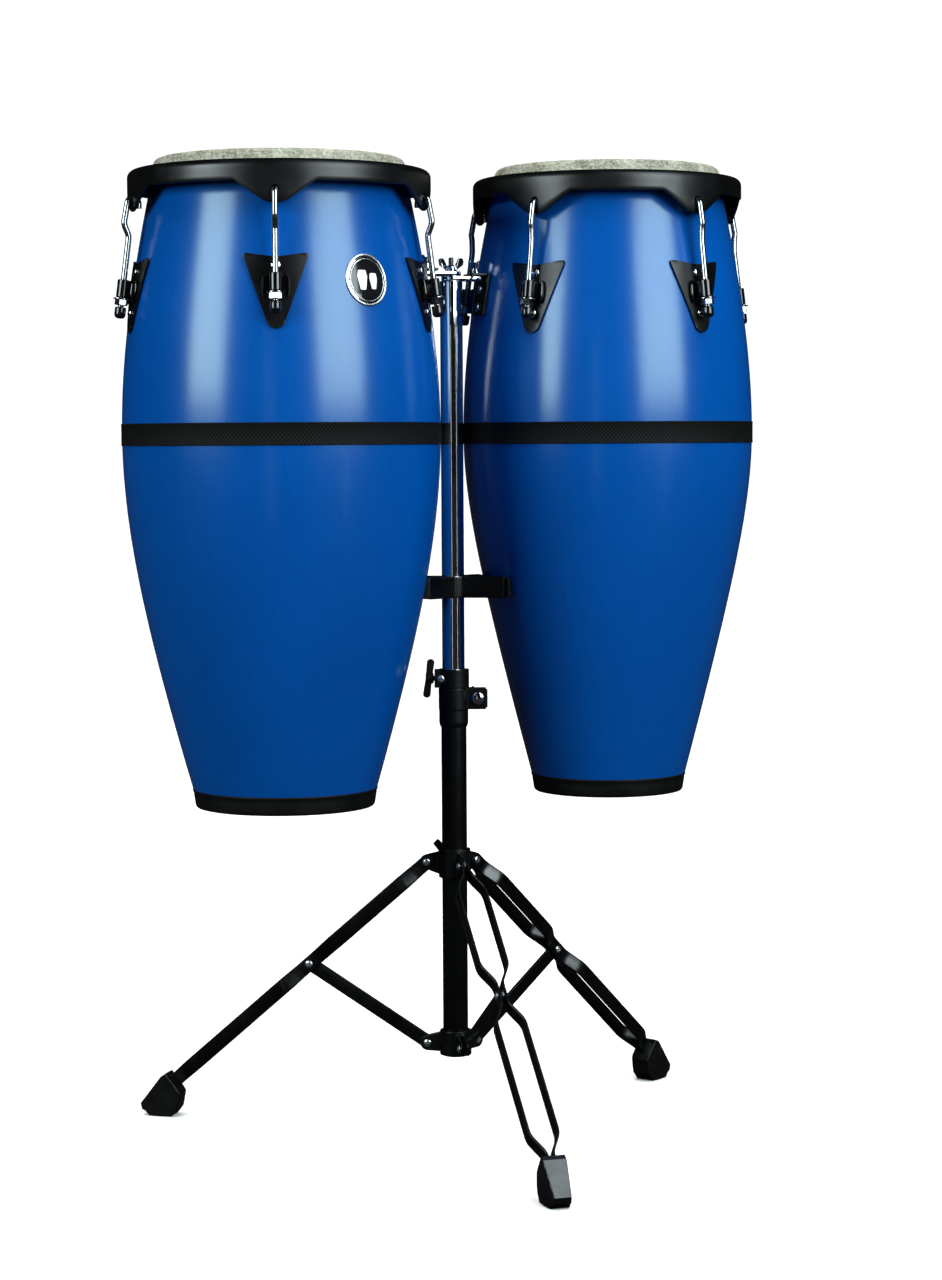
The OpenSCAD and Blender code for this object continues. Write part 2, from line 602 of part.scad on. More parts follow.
module upper_collar() color([0.05, 0.05, 0.05]) difference() {
    union() {
        at_pole() collar_ring(289.5, 322);
        for (i = [0 : 2]) at_leg(i) collar_lug(291, 320, leg_pivot_z, lug_t);
        at_pole() rotate([0, 0, wing_turn]) translate([0, 0, wing_z]) rotate([0, 90, 0])
            cylinder(r = 7, h = 22);
    }
    at_pole() translate([0, 0, 200]) cylinder(r = collar_bore, h = 200, $fn = 96);
    for (i = [0 : 2]) at_leg(i) translate([pivot_r, 0, leg_pivot_z]) across(pin_r, 10);
    at_pole() rotate([0, 0, wing_turn]) translate([0, 0, wing_z]) rotate([0, 90, 0])
        cylinder(r = pin_r + pin_fit, h = 60);
}
wing_turn = 95;
wing_z = 314;
module collar_wing_bolt() color([0.05, 0.05, 0.05]) at_pole() rotate([0, 0, wing_turn])
    translate([22.3, 0, wing_z]) rotate([0, 90, 0]) rotate([0, 0, -40]) wing_bolt(18.5, 6, pin_r, 2);

// Two cheeks carry each brace between them
module lower_collar() color([0.05, 0.05, 0.05]) difference() {
    union() {
        at_pole() collar_ring(86, 114);
        for (i = [0 : 2]) at_leg(i) for (m = [-1, 1]) translate([0, m * (gap_half + 1.6), 0])
            collar_lug(88, 112, brace_pivot_z, 3.2);
    }
    at_pole() translate([0, 0, 50]) cylinder(r = lower_r + 0.02, h = 100, $fn = 96);
    for (i = [0 : 2]) at_leg(i) translate([pivot_r, 0, brace_pivot_z]) across(pin_r, 12);
}

// A pin with a domed head at each end, from one outer face of the joint to the other
module pivot_pin(half) {
    across(pin_r, half);
    for (m = [0, 180]) rotate([0, 0, m]) translate([0, -half, 0]) rotate([90, 0, 0])
        cylinder(r1 = 4.6, r2 = 3.2, h = 2.2);
}
module upper_collar_pins() color([0.7, 0.71, 0.73])
    for (i = [0 : 2]) at_leg(i) translate([pivot_r, 0, leg_pivot_z]) pivot_pin(strip_mid + strip_t / 2 + 0.3);
module lower_collar_pins() color([0.7, 0.71, 0.73])
    for (i = [0 : 2]) at_leg(i) translate([pivot_r, 0, brace_pivot_z]) pivot_pin(gap_half + 3.3);

jog_start = 15;
jog_len = 23;
foot_waist = 34;
// Middle line of one strip seen from above: close to the pivots and foot, bowed apart between them
bow_mid = bow / 2;
strip_path = [[-1, strip_mid], [jog_start, strip_mid], [jog_start + jog_len, bow_mid],
              [knee_len - jog_start - jog_len, bow_mid], [knee_len - jog_start, strip_mid],
              [knee_len + jog_start, strip_mid], [knee_len + jog_start + jog_len, bow_mid],
              [leg_len - foot_waist - jog_len, bow_mid], [leg_len - foot_waist, strip_mid],
              [leg_len, strip_mid]];

// The strip's edge view: the path drawn with its own thickness
module strip_edge() polygon(concat([for (p = strip_path) [p[0], p[1] - strip_t / 2]],
    [for (j = [len(strip_path) - 1 : -1 : 0]) [strip_path[j][0], strip_path[j][1] + strip_t / 2]]));

module leg(i) {
    along_leg(i) for (m = [-1, 1]) scale([1, m, 1]) difference() {
        union() {
            translate([0, 0, -strip_w / 2]) linear_extrude(strip_w) strip_edge();
            translate([0, strip_mid, 0]) across(strip_w / 2, strip_t / 2);
        }
        translate([-20, 0, -20]) cube([20 - strip_w / 2, 20, 40]);
        for (x = [0, knee_len]) translate([x, 0, 0]) across(pin_r + (x == 0 ? pin_fit : 0), 30);
    }
}
module leg_front() color([0.06, 0.06, 0.06]) leg(0);
module leg_right() color([0.06, 0.06, 0.06]) leg(1);
module leg_left() color([0.06, 0.06, 0.06]) leg(2);

// Short screws in the outer faces only, so the middle plane stays free for the brace
module leg_screws(i) along_leg(i) translate([knee_len, 0, 0]) for (m = [0, 180]) rotate([0, 0, m])
    translate([0, -gap_half - 0.2, 0]) rotate([90, 0, 0]) {
        cylinder(r = pin_r, h = strip_t - 0.1);
        translate([0, 0, strip_t - 0.1]) cylinder(r1 = 4.6, r2 = 3.2, h = 2.2);
    }
module leg_screws_front() color([0.7, 0.71, 0.73]) leg_screws(0);
module leg_screws_right() color([0.7, 0.71, 0.73]) leg_screws(1);
module leg_screws_left() color([0.7, 0.71, 0.73]) leg_screws(2);

module brace(i) {
    along_brace(i) difference() {
        union() {
            translate([0, -lug_t / 2, -strip_w / 2]) cube([brace_len, lug_t, strip_w]);
            for (x = [0, brace_len]) translate([x, 0, 0]) across(strip_w / 2, lug_t / 2);
        }
        for (x = [0, brace_len]) translate([x, 0, 0]) across(pin_r + pin_fit, 10);
    }
}
module brace_front() color([0.06, 0.06, 0.06]) brace(0);
module brace_right() color([0.06, 0.06, 0.06]) brace(1);
module brace_left() color([0.06, 0.06, 0.06]) brace(2);

// Side view of a rubber foot, as [distance from the stand's axis, height]
foot_side = [[338, 0], [366, 0], [371, 5], [375, 6.5], [377, 13.5], [350.5, 47], [345, 50], [334, 36.5],
             [327.5, 27], [331, 9]];
foot_w = 26;
foot_face_w = 19;
module foot(i) {
    at_leg(i) intersection() {
        rotate([90, 0, 0]) linear_extrude(foot_w, center = true) polygon(foot_side);
        translate([0, 0, -1]) linear_extrude(60) polygon([[320, -9], [330, -foot_w / 2], [352, -foot_w / 2],
            [378, -foot_face_w / 2], [378, foot_face_w / 2], [352, foot_w / 2], [330, foot_w / 2], [320, 9]]);
    }
}
module foot_front() color([0.09, 0.09, 0.09]) foot(0);
module foot_right() color([0.09, 0.09, 0.09]) foot(1);
module foot_left() color([0.09, 0.09, 0.09]) foot(2);

lower_tube();
height_clamp();
tube_bushing();
clamp_bolt();
clamp_wing_nut();
lower_collar();
lower_collar_pins();
upper_collar();
upper_collar_pins();
collar_wing_bolt();
leg_front();
leg_right();
leg_left();
foot_front();
foot_right();
foot_left();
leg_screws_front();
leg_screws_right();
leg_screws_left();
brace_front();
brace_right();
brace_left();
memory_lock();
memory_lock_screw();
memory_lock_wing();
upper_tube();
pole_head();
arm_plate_large();
arm_plate_small();
arm_studs();
pole_wing_nut();
wing_nut_large();
wing_nut_small();
cradle_band();
cradle_pads();
shell_large();
shell_small();
belly_band_large();
belly_band_small();
bottom_ring_large();
bottom_ring_small();
drum_head_large();
drum_head_small();
flesh_hoop_large();
flesh_hoop_small();
rim_large();
rim_small();
hook_rods_large();
hook_rods_small();
rod_caps_large();
rod_caps_small();
tuning_nuts_large();
tuning_nuts_small();
lugs_large();
lugs_small();
shell_screws_large();
shell_screws_small();
stand_bracket_large();
stand_bracket_small();
badge();
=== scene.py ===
"""A pair of conga drums on a folding double stand: pieces, materials, light and camera on its CAD frame.

Sizes are in millimetres; each piece is turned into metres when it is made.
"""
import json
import math

import bmesh
import bpy
from mathutils import Matrix, Vector, noise


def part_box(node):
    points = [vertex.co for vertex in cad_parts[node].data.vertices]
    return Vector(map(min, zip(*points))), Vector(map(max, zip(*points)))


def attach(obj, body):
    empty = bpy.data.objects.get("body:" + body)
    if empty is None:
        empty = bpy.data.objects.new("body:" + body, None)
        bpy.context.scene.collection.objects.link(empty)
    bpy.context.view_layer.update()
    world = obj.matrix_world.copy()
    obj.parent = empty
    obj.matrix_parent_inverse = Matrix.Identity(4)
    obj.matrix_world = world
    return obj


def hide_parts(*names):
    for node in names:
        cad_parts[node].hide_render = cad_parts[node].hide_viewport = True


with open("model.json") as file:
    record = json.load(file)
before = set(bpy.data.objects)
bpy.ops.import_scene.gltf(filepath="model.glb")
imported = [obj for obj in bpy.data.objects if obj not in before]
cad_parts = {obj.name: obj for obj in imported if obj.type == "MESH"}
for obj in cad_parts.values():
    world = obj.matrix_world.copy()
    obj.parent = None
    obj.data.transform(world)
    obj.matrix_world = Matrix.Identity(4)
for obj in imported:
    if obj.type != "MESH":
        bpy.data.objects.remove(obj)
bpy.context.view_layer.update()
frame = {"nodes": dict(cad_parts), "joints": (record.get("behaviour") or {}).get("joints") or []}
scene = bpy.context.scene
MM = 0.001

# ------------------------------------------------------------------ sizes read from the frame
SIZES = ("large", "small")
FEET = ("front", "right", "left")


def box_mm(node):
    """Lowest and highest corner of a CAD node, in millimetres."""
    low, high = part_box(node)
    return low / MM, high / MM


def middle(node):
    low, high = box_mm(node)
    return (low + high) / 2


def joint(name):
    return next(j for j in frame["joints"] if j["name"] == name)


POLE = Vector((middle("upper_tube").x, middle("upper_tube").y, 0))
DRUM_TOP = box_mm("drum_head_large")[1].z
DRUM_AXIS = {k: Vector((middle(f"shell_{k}").x, middle(f"shell_{k}").y, 0)) for k in SIZES}
BELLY_R = {k: (box_mm(f"shell_{k}")[1].x - box_mm(f"shell_{k}")[0].x) / 2 for k in SIZES}
RIM_R = {k: (box_mm(f"rim_{k}")[1].x - box_mm(f"rim_{k}")[0].x) / 2 for k in SIZES}
RING_TOP = DRUM_TOP - box_mm("bottom_ring_large")[1].z
DRUM_HEIGHT = DRUM_TOP - box_mm("bottom_ring_large")[0].z
BAND_TOP = DRUM_TOP - box_mm("belly_band_large")[1].z
BAND_END = DRUM_TOP - box_mm("belly_band_large")[0].z
BELLY_DEPTH = (BAND_TOP + BAND_END) / 2
FACING = {"large": 0, "small": 180}
UPPER_SLOPE, UPPER_CURVE = 0.29, 252
LOWER_SLOPE = {"large": 0.33, "small": 0.275}
LOWER_CURVE = {"large": 235, "small": 135}
SHELL_WALL = 7
RODS = 5


def shell_r(k, s):
    """Outer radius of a shell at depth s below the crown of its head."""
    slope, curve = (UPPER_SLOPE, UPPER_CURVE) if s < BELLY_DEPTH else (LOWER_SLOPE[k], LOWER_CURVE[k])
    return BELLY_R[k] - slope * (math.hypot(s - BELLY_DEPTH, curve) - curve)


def shell_tilt(k, s):
    """Lean of the shell's wall in degrees, positive where it widens downward."""
    return math.degrees(math.atan((shell_r(k, s + 1) - shell_r(k, s - 1)) / 2))


def lug_angle(k, i):
    return FACING[k] + 180 / RODS + i * 360 / RODS


# ------------------------------------------------------------------ placing
def shift(x, y=0.0, z=0.0):
    return Matrix.Translation((x, y, z))


def turn(degrees, axis="Z"):
    return Matrix.Rotation(math.radians(degrees), 4, axis)


def at_drum(k, degrees=0.0):
    return Matrix.Translation(DRUM_AXIS[k]) @ turn(degrees)


def at_pole(degrees=0.0):
    return Matrix.Translation(POLE) @ turn(degrees)


# ------------------------------------------------------------------ forms, as bmesh in millimetres
def arc(x, y, r, start, end, steps):
    """Points of an arc about (x, y), from start to end in degrees."""
    angles = [math.radians(start + (end - start) * n / steps) for n in range(steps + 1)]
    return [(x + r * math.cos(a), y + r * math.sin(a)) for a in angles]


def rounded(points, r, steps=4):
    """A closed outline with each corner rounded off by radius r, or by the corner's own third value."""
    result = []
    count = len(points)
    for n, point in enumerate(points):
        here = Vector(point[:2])
        size = point[2] if len(point) > 2 else r
        before, after = Vector(points[n - 1][:2]) - here, Vector(points[(n + 1) % count][:2]) - here
        if size <= 0 or before.length == 0 or after.length == 0:
            result.append(tuple(here))
            continue
        half = before.angle(after) / 2
        reach = min(size / math.tan(half), before.length * 0.49, after.length * 0.49)
        start, end = here + before.normalized() * reach, here + after.normalized() * reach
        for m in range(steps + 1):
            t = m / steps
            result.append(tuple(start.lerp(here, t).lerp(here.lerp(end, t), t)))
    return result


def through(points, steps):
    """A smooth line through points, as a Catmull-Rom curve."""
    points = [Vector(p) for p in points]
    ends = [2 * points[0] - points[1], *points, 2 * points[-1] - points[-2]]
    result = []
    for a, b, c, d in zip(ends, ends[1:], ends[2:], ends[3:]):
        for m in range(steps):
            t = m / steps
            result.append(0.5 * (2 * b + (c - a) * t + (2 * a - 5 * b + 4 * c - d) * t * t
                                 + (3 * b - a - 3 * c + d) * t ** 3))
    return result + [points[-1]]


def lathe(outline, steps):
    """A closed outline of (radius, height) turned about Z."""
    form = bmesh.new()
    rings = []
    for n in range(steps):
        a = 2 * math.pi * n / steps
        rings.append([form.verts.new((r * math.cos(a), r * math.sin(a), z)) for r, z in outline])
    count = len(outline)
    for n in range(steps):
        here, there = rings[n], rings[(n + 1) % steps]
        for m in range(count):
            form.faces.new((here[m], there[m], there[(m + 1) % count], here[(m + 1) % count]))
    bmesh.ops.remove_doubles(form, verts=form.verts, dist=1e-4)
    bmesh.ops.recalc_face_normals(form, faces=form.faces)
    return form


def sweep(path, section, size=None, up=(0, 1, 0)):
    """A section of (side, up) points carried along a path; size(t) gives its two scales at place t."""
    form = bmesh.new()
    path = [Vector(p) for p in path]
    rings = []
    for n, point in enumerate(path):
        along = (path[min(n + 1, len(path) - 1)] - path[max(n - 1, 0)]).normalized()
        rise = (Vector(up) - along * along.dot(Vector(up))).normalized()
        side = along.cross(rise)
        wide, tall = size(n / (len(path) - 1)) if size else (1, 1)
        rings.append([form.verts.new(point + side * x * wide + rise * y * tall) for x, y in section])
    for here, there in zip(rings, rings[1:]):
        for m in range(len(section)):
            j = (m + 1) % len(section)
            form.faces.new((here[m], here[j], there[j], there[m]))
    form.faces.new(rings[0][::-1])
    form.faces.new(rings[-1])
    bmesh.ops.recalc_face_normals(form, faces=form.faces)
    return form


def circle(r, sides):
    return arc(0, 0, r, 0, 360 * (sides - 1) / sides, sides - 1)


def prism(outline, low, high):
    """A closed outline of (x, y) points raised from z = low to z = high."""
    form = bmesh.new()
    floor = [form.verts.new((x, y, low)) for x, y in outline]
    roof = [form.verts.new((x, y, high)) for x, y in outline]
    form.faces.new(floor[::-1])
    form.faces.new(roof)
    for n in range(len(outline)):
        m = (n + 1) % len(outline)
        form.faces.new((floor[n], floor[m], roof[m], roof[n]))
    bmesh.ops.recalc_face_normals(form, faces=form.faces)
    return form


def soften(form, width, segments=2):
    """Rounds the edges where faces meet at more than 35 degrees."""
    sharp = math.radians(35)
    edges = [e for e in form.edges if len(e.link_faces) == 2 and e.calc_face_angle(0) > sharp]
    bmesh.ops.bevel(form, geom=edges, offset=width, segments=segments, profile=0.5, affect="EDGES",
                    clamp_overlap=True)
    return form


def moved(form, place):
    form.transform(place)
    return form


def stamped(form, places):
    """One form that holds a copy of the given one at each place."""
    result = bmesh.new()
    mesh = bpy.data.meshes.new("stamp")
    form.to_mesh(mesh)
    for place in places:
        start = len(result.verts)
        result.from_mesh(mesh)
        result.verts.ensure_lookup_table()
        bmesh.ops.transform(result, matrix=place, verts=result.verts[start:])
    bpy.data.meshes.remove(mesh)
    return result


def as_object(form):
    mesh = bpy.data.meshes.new("work")
    form.to_mesh(mesh)
    obj = bpy.data.objects.new("work", mesh)
    scene.collection.objects.link(obj)
    return obj


def as_form(obj):
    """The object's shape with its modifiers, as a form; the object goes."""
    bpy.context.view_layer.update()
    graph = bpy.context.evaluated_depsgraph_get()
    form = bmesh.new()
    form.from_object(obj, graph)
    bpy.data.objects.remove(obj)
    return form


def carved(form, *cutters):
    """The form with each cutter taken out of it."""
    obj = as_object(form)
    tools = [as_object(c) for c in cutters]
    for tool in tools:
        cut = obj.modifiers.new("cut", "BOOLEAN")
        cut.object = tool
        cut.operation = "DIFFERENCE"
        cut.solver = "EXACT"
    result = as_form(obj)
    for tool in tools:
        bpy.data.objects.remove(tool)
    return result


def moulded(node, voxel, rounds, keep):
    """A CAD node's shape as a casting or moulding: one skin with every edge and inner corner rounded."""
    obj = bpy.data.objects.new("work", frame["nodes"][node].data.copy())
    obj.data.transform(Matrix.Scale(1 / MM, 4))
    scene.collection.objects.link(obj)
    skin = obj.modifiers.new("skin", "REMESH")
    skin.mode = "VOXEL"
    skin.voxel_size = voxel
    smooth = obj.modifiers.new("smooth", "SMOOTH")
    smooth.factor = 0.5
    smooth.iterations = rounds
    thin = obj.modifiers.new("thin", "DECIMATE")
    thin.ratio = keep
    form = as_form(obj)
    for face in form.faces:
        face.material_index = 0
    return form


def piece(name, body, parts, replaced, sharp=34):
    """One object made of (form, material) pairs. It rides on a body and may stand for CAD nodes."""
    joined = bmesh.new()
    materials = []
    for form, material in parts:
        if material not in materials:
            materials.append(material)
        if len(parts) > 1:
            for face in form.faces:
                face.material_index = materials.index(material)
        mesh = bpy.data.meshes.new("part")
        form.to_mesh(mesh)
        joined.from_mesh(mesh)
        bpy.data.meshes.remove(mesh)
    joined.transform(Matrix.Scale(MM, 4))
    for face in joined.faces:
        face.smooth = True
    mesh = bpy.data.meshes.new(name)
    joined.to_mesh(mesh)
    mesh.set_sharp_from_angle(angle=math.radians(sharp))
    for material in materials:
        mesh.materials.append(material)
    obj = bpy.data.objects.new(name, mesh)
    scene.collection.objects.link(obj)
    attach(obj, body)
    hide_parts(*replaced)
    return obj


# ------------------------------------------------------------------ materials
def add(material, kind, inputs=(), **settings):
    """A node with its settings and inputs; an input is a value or another node's output."""
    node = material.node_tree.nodes.new(kind)
    for key, value in settings.items():
        setattr(node, key, value)
    for key, value in dict(inputs).items():
        if isinstance(value, bpy.types.NodeSocket):
            material.node_tree.links.new(value, node.inputs[key])
        else:
            node.inputs[key].default_value = value
    return node


def finish_material(name, roughness, **sockets):
    material = bpy.data.materials.new(name)
    material.use_nodes = True
    shader = material.node_tree.nodes["Principled BSDF"]
    shader.inputs["Roughness"].default_value = roughness
    for key, value in sockets.items():
        shader.inputs[key.replace("_", " ")].default_value = value
    return material


def shader_of(material):
    return material.node_tree.nodes["Principled BSDF"]


def feed(material, socket, output):
    material.node_tree.links.new(output, shader_of(material).inputs[socket])


def grain(material, scale, detail, stretch=(1, 1, 1), rough=0.5):
    """Noise over the object's own space; scale is in cells per metre."""
    where = add(material, "ShaderNodeTexCoord").outputs["Object"]
    spread = add(material, "ShaderNodeMapping", {"Vector": where, "Scale": stretch}).outputs["Vector"]
    return add(material, "ShaderNodeTexNoise", {"Vector": spread, "Scale": scale, "Detail": detail,
                                                "Roughness": rough}).outputs["Fac"]


def ramp(material, factor, stops):
    """Colours at places along a factor: [(place, (r, g, b)), ...]."""
    node = add(material, "ShaderNodeValToRGB", {"Fac": factor})
    band = node.color_ramp.elements
    while len(band) < len(stops):
        band.new(0.5)
    for element, (place, colour) in zip(band, stops):
        element.position = place
        element.color = (*colour, 1)
    return node.outputs["Color"]


def spread_between(material, factor, low, high, start=0.3, end=0.7):
    return add(material, "ShaderNodeMapRange", {"Value": factor, "From Min": start, "From Max": end,
                                                "To Min": low, "To Max": high}).outputs["Result"]


def relief(material, height, distance, strength, below=None):
    """Bump of the given depth in metres, on top of another bump if one is given."""
    inputs = {"Height": height, "Distance": distance, "Strength": strength}
    if below is not None:
        inputs["Normal"] = below
    return add(material, "ShaderNodeBump", inputs).outputs["Normal"]


def lacquer(name):
    """Satin blue lacquer over a moulded shell: faint upright grain, cloudy tone and roughness, and a fine
    orange-peel skin.
    """
    m = finish_material(name, 0.3, Coat_Weight=0.22, Coat_Roughness=0.2, Specular_IOR_Level=0.45,
                        Specular_Tint=(0.72, 1.0, 0.86, 1))
    cloud = grain(m, 9, 3)
    fibre = grain(m, 60, 4, (6, 6, 0.35))
    both = add(m, "ShaderNodeMath", {0: cloud, 1: fibre}, operation="MULTIPLY").outputs["Value"]
    feed(m, "Base Color", ramp(m, both, [(0.0, (0.0, 0.064, 0.30)), (0.7, (0.0, 0.088, 0.40))]))
    feed(m, "Roughness", spread_between(m, cloud, 0.215, 0.255, 0, 1))
    peel = relief(m, grain(m, 620, 2), 0.00003, 0.35)
    feed(m, "Normal", relief(m, fibre, 0.00005, 0.2, peel))
    return m


def raw_wood(name):
    """The unpainted inside of the shell: upright staves with fine grain."""
    m = finish_material(name, 0.62)
    fibre = grain(m, 90, 5, (5, 5, 0.25))
    feed(m, "Base Color", ramp(m, fibre, [(0.3, (0.19, 0.105, 0.052)), (0.55, (0.33, 0.20, 0.105)),
                                          (0.75, (0.42, 0.27, 0.15))]))
    feed(m, "Normal", relief(m, fibre, 0.0003, 0.5))
    return m


def rawhide(name):
    """Grey-beige hide: pale ground, darker mottling and fine fibres, with a slight sheen."""
    m = finish_material(name, 0.5, Subsurface_Weight=0.06, Subsurface_Scale=0.004)
    mottle = grain(m, 55, 5, rough=0.62)
    speck = grain(m, 380, 3, rough=0.7)
    both = add(m, "ShaderNodeMix", {"Factor": 0.62, 2: mottle, 3: speck}, data_type="FLOAT").outputs[0]
    feed(m, "Base Color", ramp(m, both, [(0.36, (0.08, 0.08, 0.058)), (0.46, (0.22, 0.217, 0.165)),
                                         (0.56, (0.38, 0.376, 0.295)), (0.66, (0.52, 0.515, 0.41))]))
    feed(m, "Roughness", spread_between(m, mottle, 0.42, 0.6))
    feed(m, "Normal", relief(m, speck, 0.0002, 0.5))
    return m


def powder_coat(name, colour=(0.0012, 0.0012, 0.0013), low=0.3, high=0.4, depth=0.00004, shine=0.5):
    """Black powder coat with a fine orange-peel skin and slightly worn patches."""
    m = finish_material(name, low, Specular_IOR_Level=shine)
    cloud = grain(m, 30, 4)
    worn = tuple(c * 1.7 for c in colour)
    feed(m, "Base Color", ramp(m, cloud, [(0.35, colour), (0.75, worn)]))
    feed(m, "Roughness", spread_between(m, cloud, low, high))
    feed(m, "Normal", relief(m, grain(m, 700, 2), depth, 0.5))
    return m


def rubber(name, colour=(0.0015, 0.0015, 0.0015), low=0.5, high=0.66, shine=0.25):
    """Moulded rubber or plastic, cloudy in colour and sheen, with a fine skin."""
    m = finish_material(name, low, Specular_IOR_Level=shine)
    cloud = grain(m, 45, 4)
    feed(m, "Base Color", ramp(m, cloud, [(0.3, colour), (0.75, tuple(c * 1.9 for c in colour))]))
    feed(m, "Roughness", spread_between(m, cloud, low, high))
    feed(m, "Normal", relief(m, grain(m, 950, 3), 0.00006, 0.6))
    return m


def metal(name, colour, low, high, scratch):
    """Plated or bare metal with faint handling marks in its roughness and skin."""
    m = finish_material(name, low, Metallic=1.0)
    cloud = grain(m, 70, 4)
    feed(m, "Base Color", ramp(m, cloud, [(0.3, tuple(c * 0.93 for c in colour)), (0.7, colour)]))
    feed(m, "Roughness", spread_between(m, cloud, low, high))
    feed(m, "Normal", relief(m, grain(m, 900, 2), scratch, 0.4))
    return m


def webbing(name):
    """Black woven band: rows of small raised stitches, laid out by the band's own UV map in millimetres; its
    colour is painted sheen on the stitch crowns and painted shade in the gaps.
    """
    m = finish_material(name, 0.65, Specular_IOR_Level=0.12)
    uv = add(m, "ShaderNodeUVMap", uv_map="weave").outputs["UV"]
    parts = add(m, "ShaderNodeSeparateXYZ", {"Vector": uv})
    turns = [add(m, "ShaderNodeMath", {0: parts.outputs[axis], 1: 2 * math.pi / stitch}, operation="MULTIPLY")
             for axis, stitch in (("X", 4.2), ("Y", 4.8))]
    waves = [add(m, "ShaderNodeMath", {0: v.outputs["Value"]}, operation="SINE").outputs["Value"]
             for v in turns]
    weave = add(m, "ShaderNodeMath", {0: waves[0], 1: waves[1]}, operation="MULTIPLY").outputs["Value"]
    # Colour keyed to the weave's height: painted sheen on the stitch crowns, painted shade in the gaps
    # between them
    feed(m, "Base Color", ramp(m, spread_between(m, weave, 0, 1, -1, 1),
                               [(0.4, (0.0002, 0.0002, 0.0002)), (0.95, (0.014, 0.0145, 0.014))]))
    feed(m, "Normal", relief(m, weave, 0.0003, 0.8))
    return m


STAND_BLACK = (0.001, 0.001, 0.0011)
MOULDED_BLACK = (0.003, 0.003, 0.003)
LACQUER = lacquer("blue_lacquer")
RAW_WOOD = raw_wood("raw_wood")
RAWHIDE = rawhide("rawhide")
RIM_BLACK = powder_coat("rim_black", low=0.3, high=0.38)
LUG_BLACK = powder_coat("lug_black", low=0.26, high=0.36, shine=0.4)
EYE_BLACK = powder_coat("eye_black", low=0.1, high=0.16, shine=0.6)
CAST_BLACK = powder_coat("cast_black", STAND_BLACK, 0.3, 0.42, 0.00008, 0.3)
TUBE_BLACK = powder_coat("tube_black", STAND_BLACK, 0.28, 0.36, shine=0.35)
STRIP_BLACK = powder_coat("strip_black", STAND_BLACK, 0.2, 0.3)
RUBBER = rubber("black_rubber")
FOOT_RUBBER = rubber("foot_rubber", MOULDED_BLACK, 0.24, 0.34, 0.6)
PAD_RUBBER = rubber("pad_rubber", MOULDED_BLACK, 0.4, 0.55)
CHROME = metal("bright_chrome", (0.83, 0.84, 0.86), 0.02, 0.05, 0.000004)
ROD_CHROME = metal("rod_chrome", (0.36, 0.37, 0.38), 0.14, 0.2, 0.000004)
SATIN_CHROME = metal("satin_chrome", (0.86, 0.87, 0.88), 0.22, 0.32, 0.00001)
EMBLEM_WHITE = rubber("emblem_white", (0.74, 0.75, 0.76), 0.2, 0.3, 0.5)
STEEL = metal("zinc_steel", (0.60, 0.61, 0.62), 0.22, 0.34, 0.00003)
ENAMEL = powder_coat("badge_enamel", (0.006, 0.006, 0.007), 0.08, 0.14, 0.00001)
CAP_RUBBER = rubber("cap_rubber", MOULDED_BLACK, 0.12, 0.2, 0.6)
NYLON = rubber("natural_nylon", (0.42, 0.42, 0.39), 0.4, 0.5)
WEBBING = webbing("belly_webbing")


# ------------------------------------------------------------------ shells, bands, rings and heads
def edge_r(k):
    return shell_r(k, 10)


def upright(outline):
    """(radius, depth below the crown) as (radius, height)."""
    return [(r, DRUM_TOP - s) for r, s in outline]


def depths(start, end, step):
    count = max(1, round(abs(end - start) / step))
    return [start + (end - start) * n / count for n in range(count + 1)]


REBATE = 3.2
SHELL_END = DRUM_HEIGHT - 4


def make_shell(k):
    e = edge_r(k)
    nose = arc(e - 6.6, 9.3, 6.2, -96, 0, 9)
    outside = [(shell_r(k, s), s) for s in depths(16, RING_TOP, 7)]
    foot = [(shell_r(k, RING_TOP) - REBATE, RING_TOP), (shell_r(k, SHELL_END) - REBATE, SHELL_END)]
    inside = [(shell_r(k, s) - SHELL_WALL, s) for s in depths(SHELL_END, 24, 14)]
    form = moved(lathe(upright(nose + outside + foot + inside + [(e - 11.4, 8)]), 256), at_drum(k))
    for face in form.faces:
        centre = face.calc_center_median() - DRUM_AXIS[k]
        face.material_index = 1 if face.normal.xy.dot(centre.xy) < -0.2 * centre.xy.length else 0
    obj = piece(f"shell_skin_{k}", f"drum_{k}", [(form, LACQUER)], [f"shell_{k}"])
    obj.data.materials.append(RAW_WOOD)


def make_band(k):
    inner = BELLY_R[k] + 0.05
    lip = 1.1
    outline = [(inner, BAND_TOP), (inner + 0.75, BAND_TOP + 0.05), (inner + 1.0, BAND_TOP + 0.5),
               (inner + 0.95, BAND_TOP + lip), (inner + 0.72, BAND_TOP + lip + 0.5),
               (inner + 0.72, BAND_END - lip - 0.5), (inner + 0.95, BAND_END - lip),
               (inner + 1.0, BAND_END - 0.5), (inner + 0.75, BAND_END - 0.05), (inner, BAND_END)]
    form = moved(lathe(upright(outline), 256), at_drum(k))
    weave = form.loops.layers.uv.new("weave")
    for face in form.faces:
        angles = []
        for loop in face.loops:
            spot = loop.vert.co - DRUM_AXIS[k]
            angle = math.atan2(spot.y, spot.x)
            if angles and abs(angle - angles[0]) > math.pi:
                angle += math.copysign(2 * math.pi, angles[0] - angle)
            angles.append(angle)
            loop[weave].uv = (angle * BELLY_R[k], spot.z)
    piece(f"belly_webbing_{k}", f"drum_{k}", [(form, WEBBING)], [f"belly_band_{k}"])


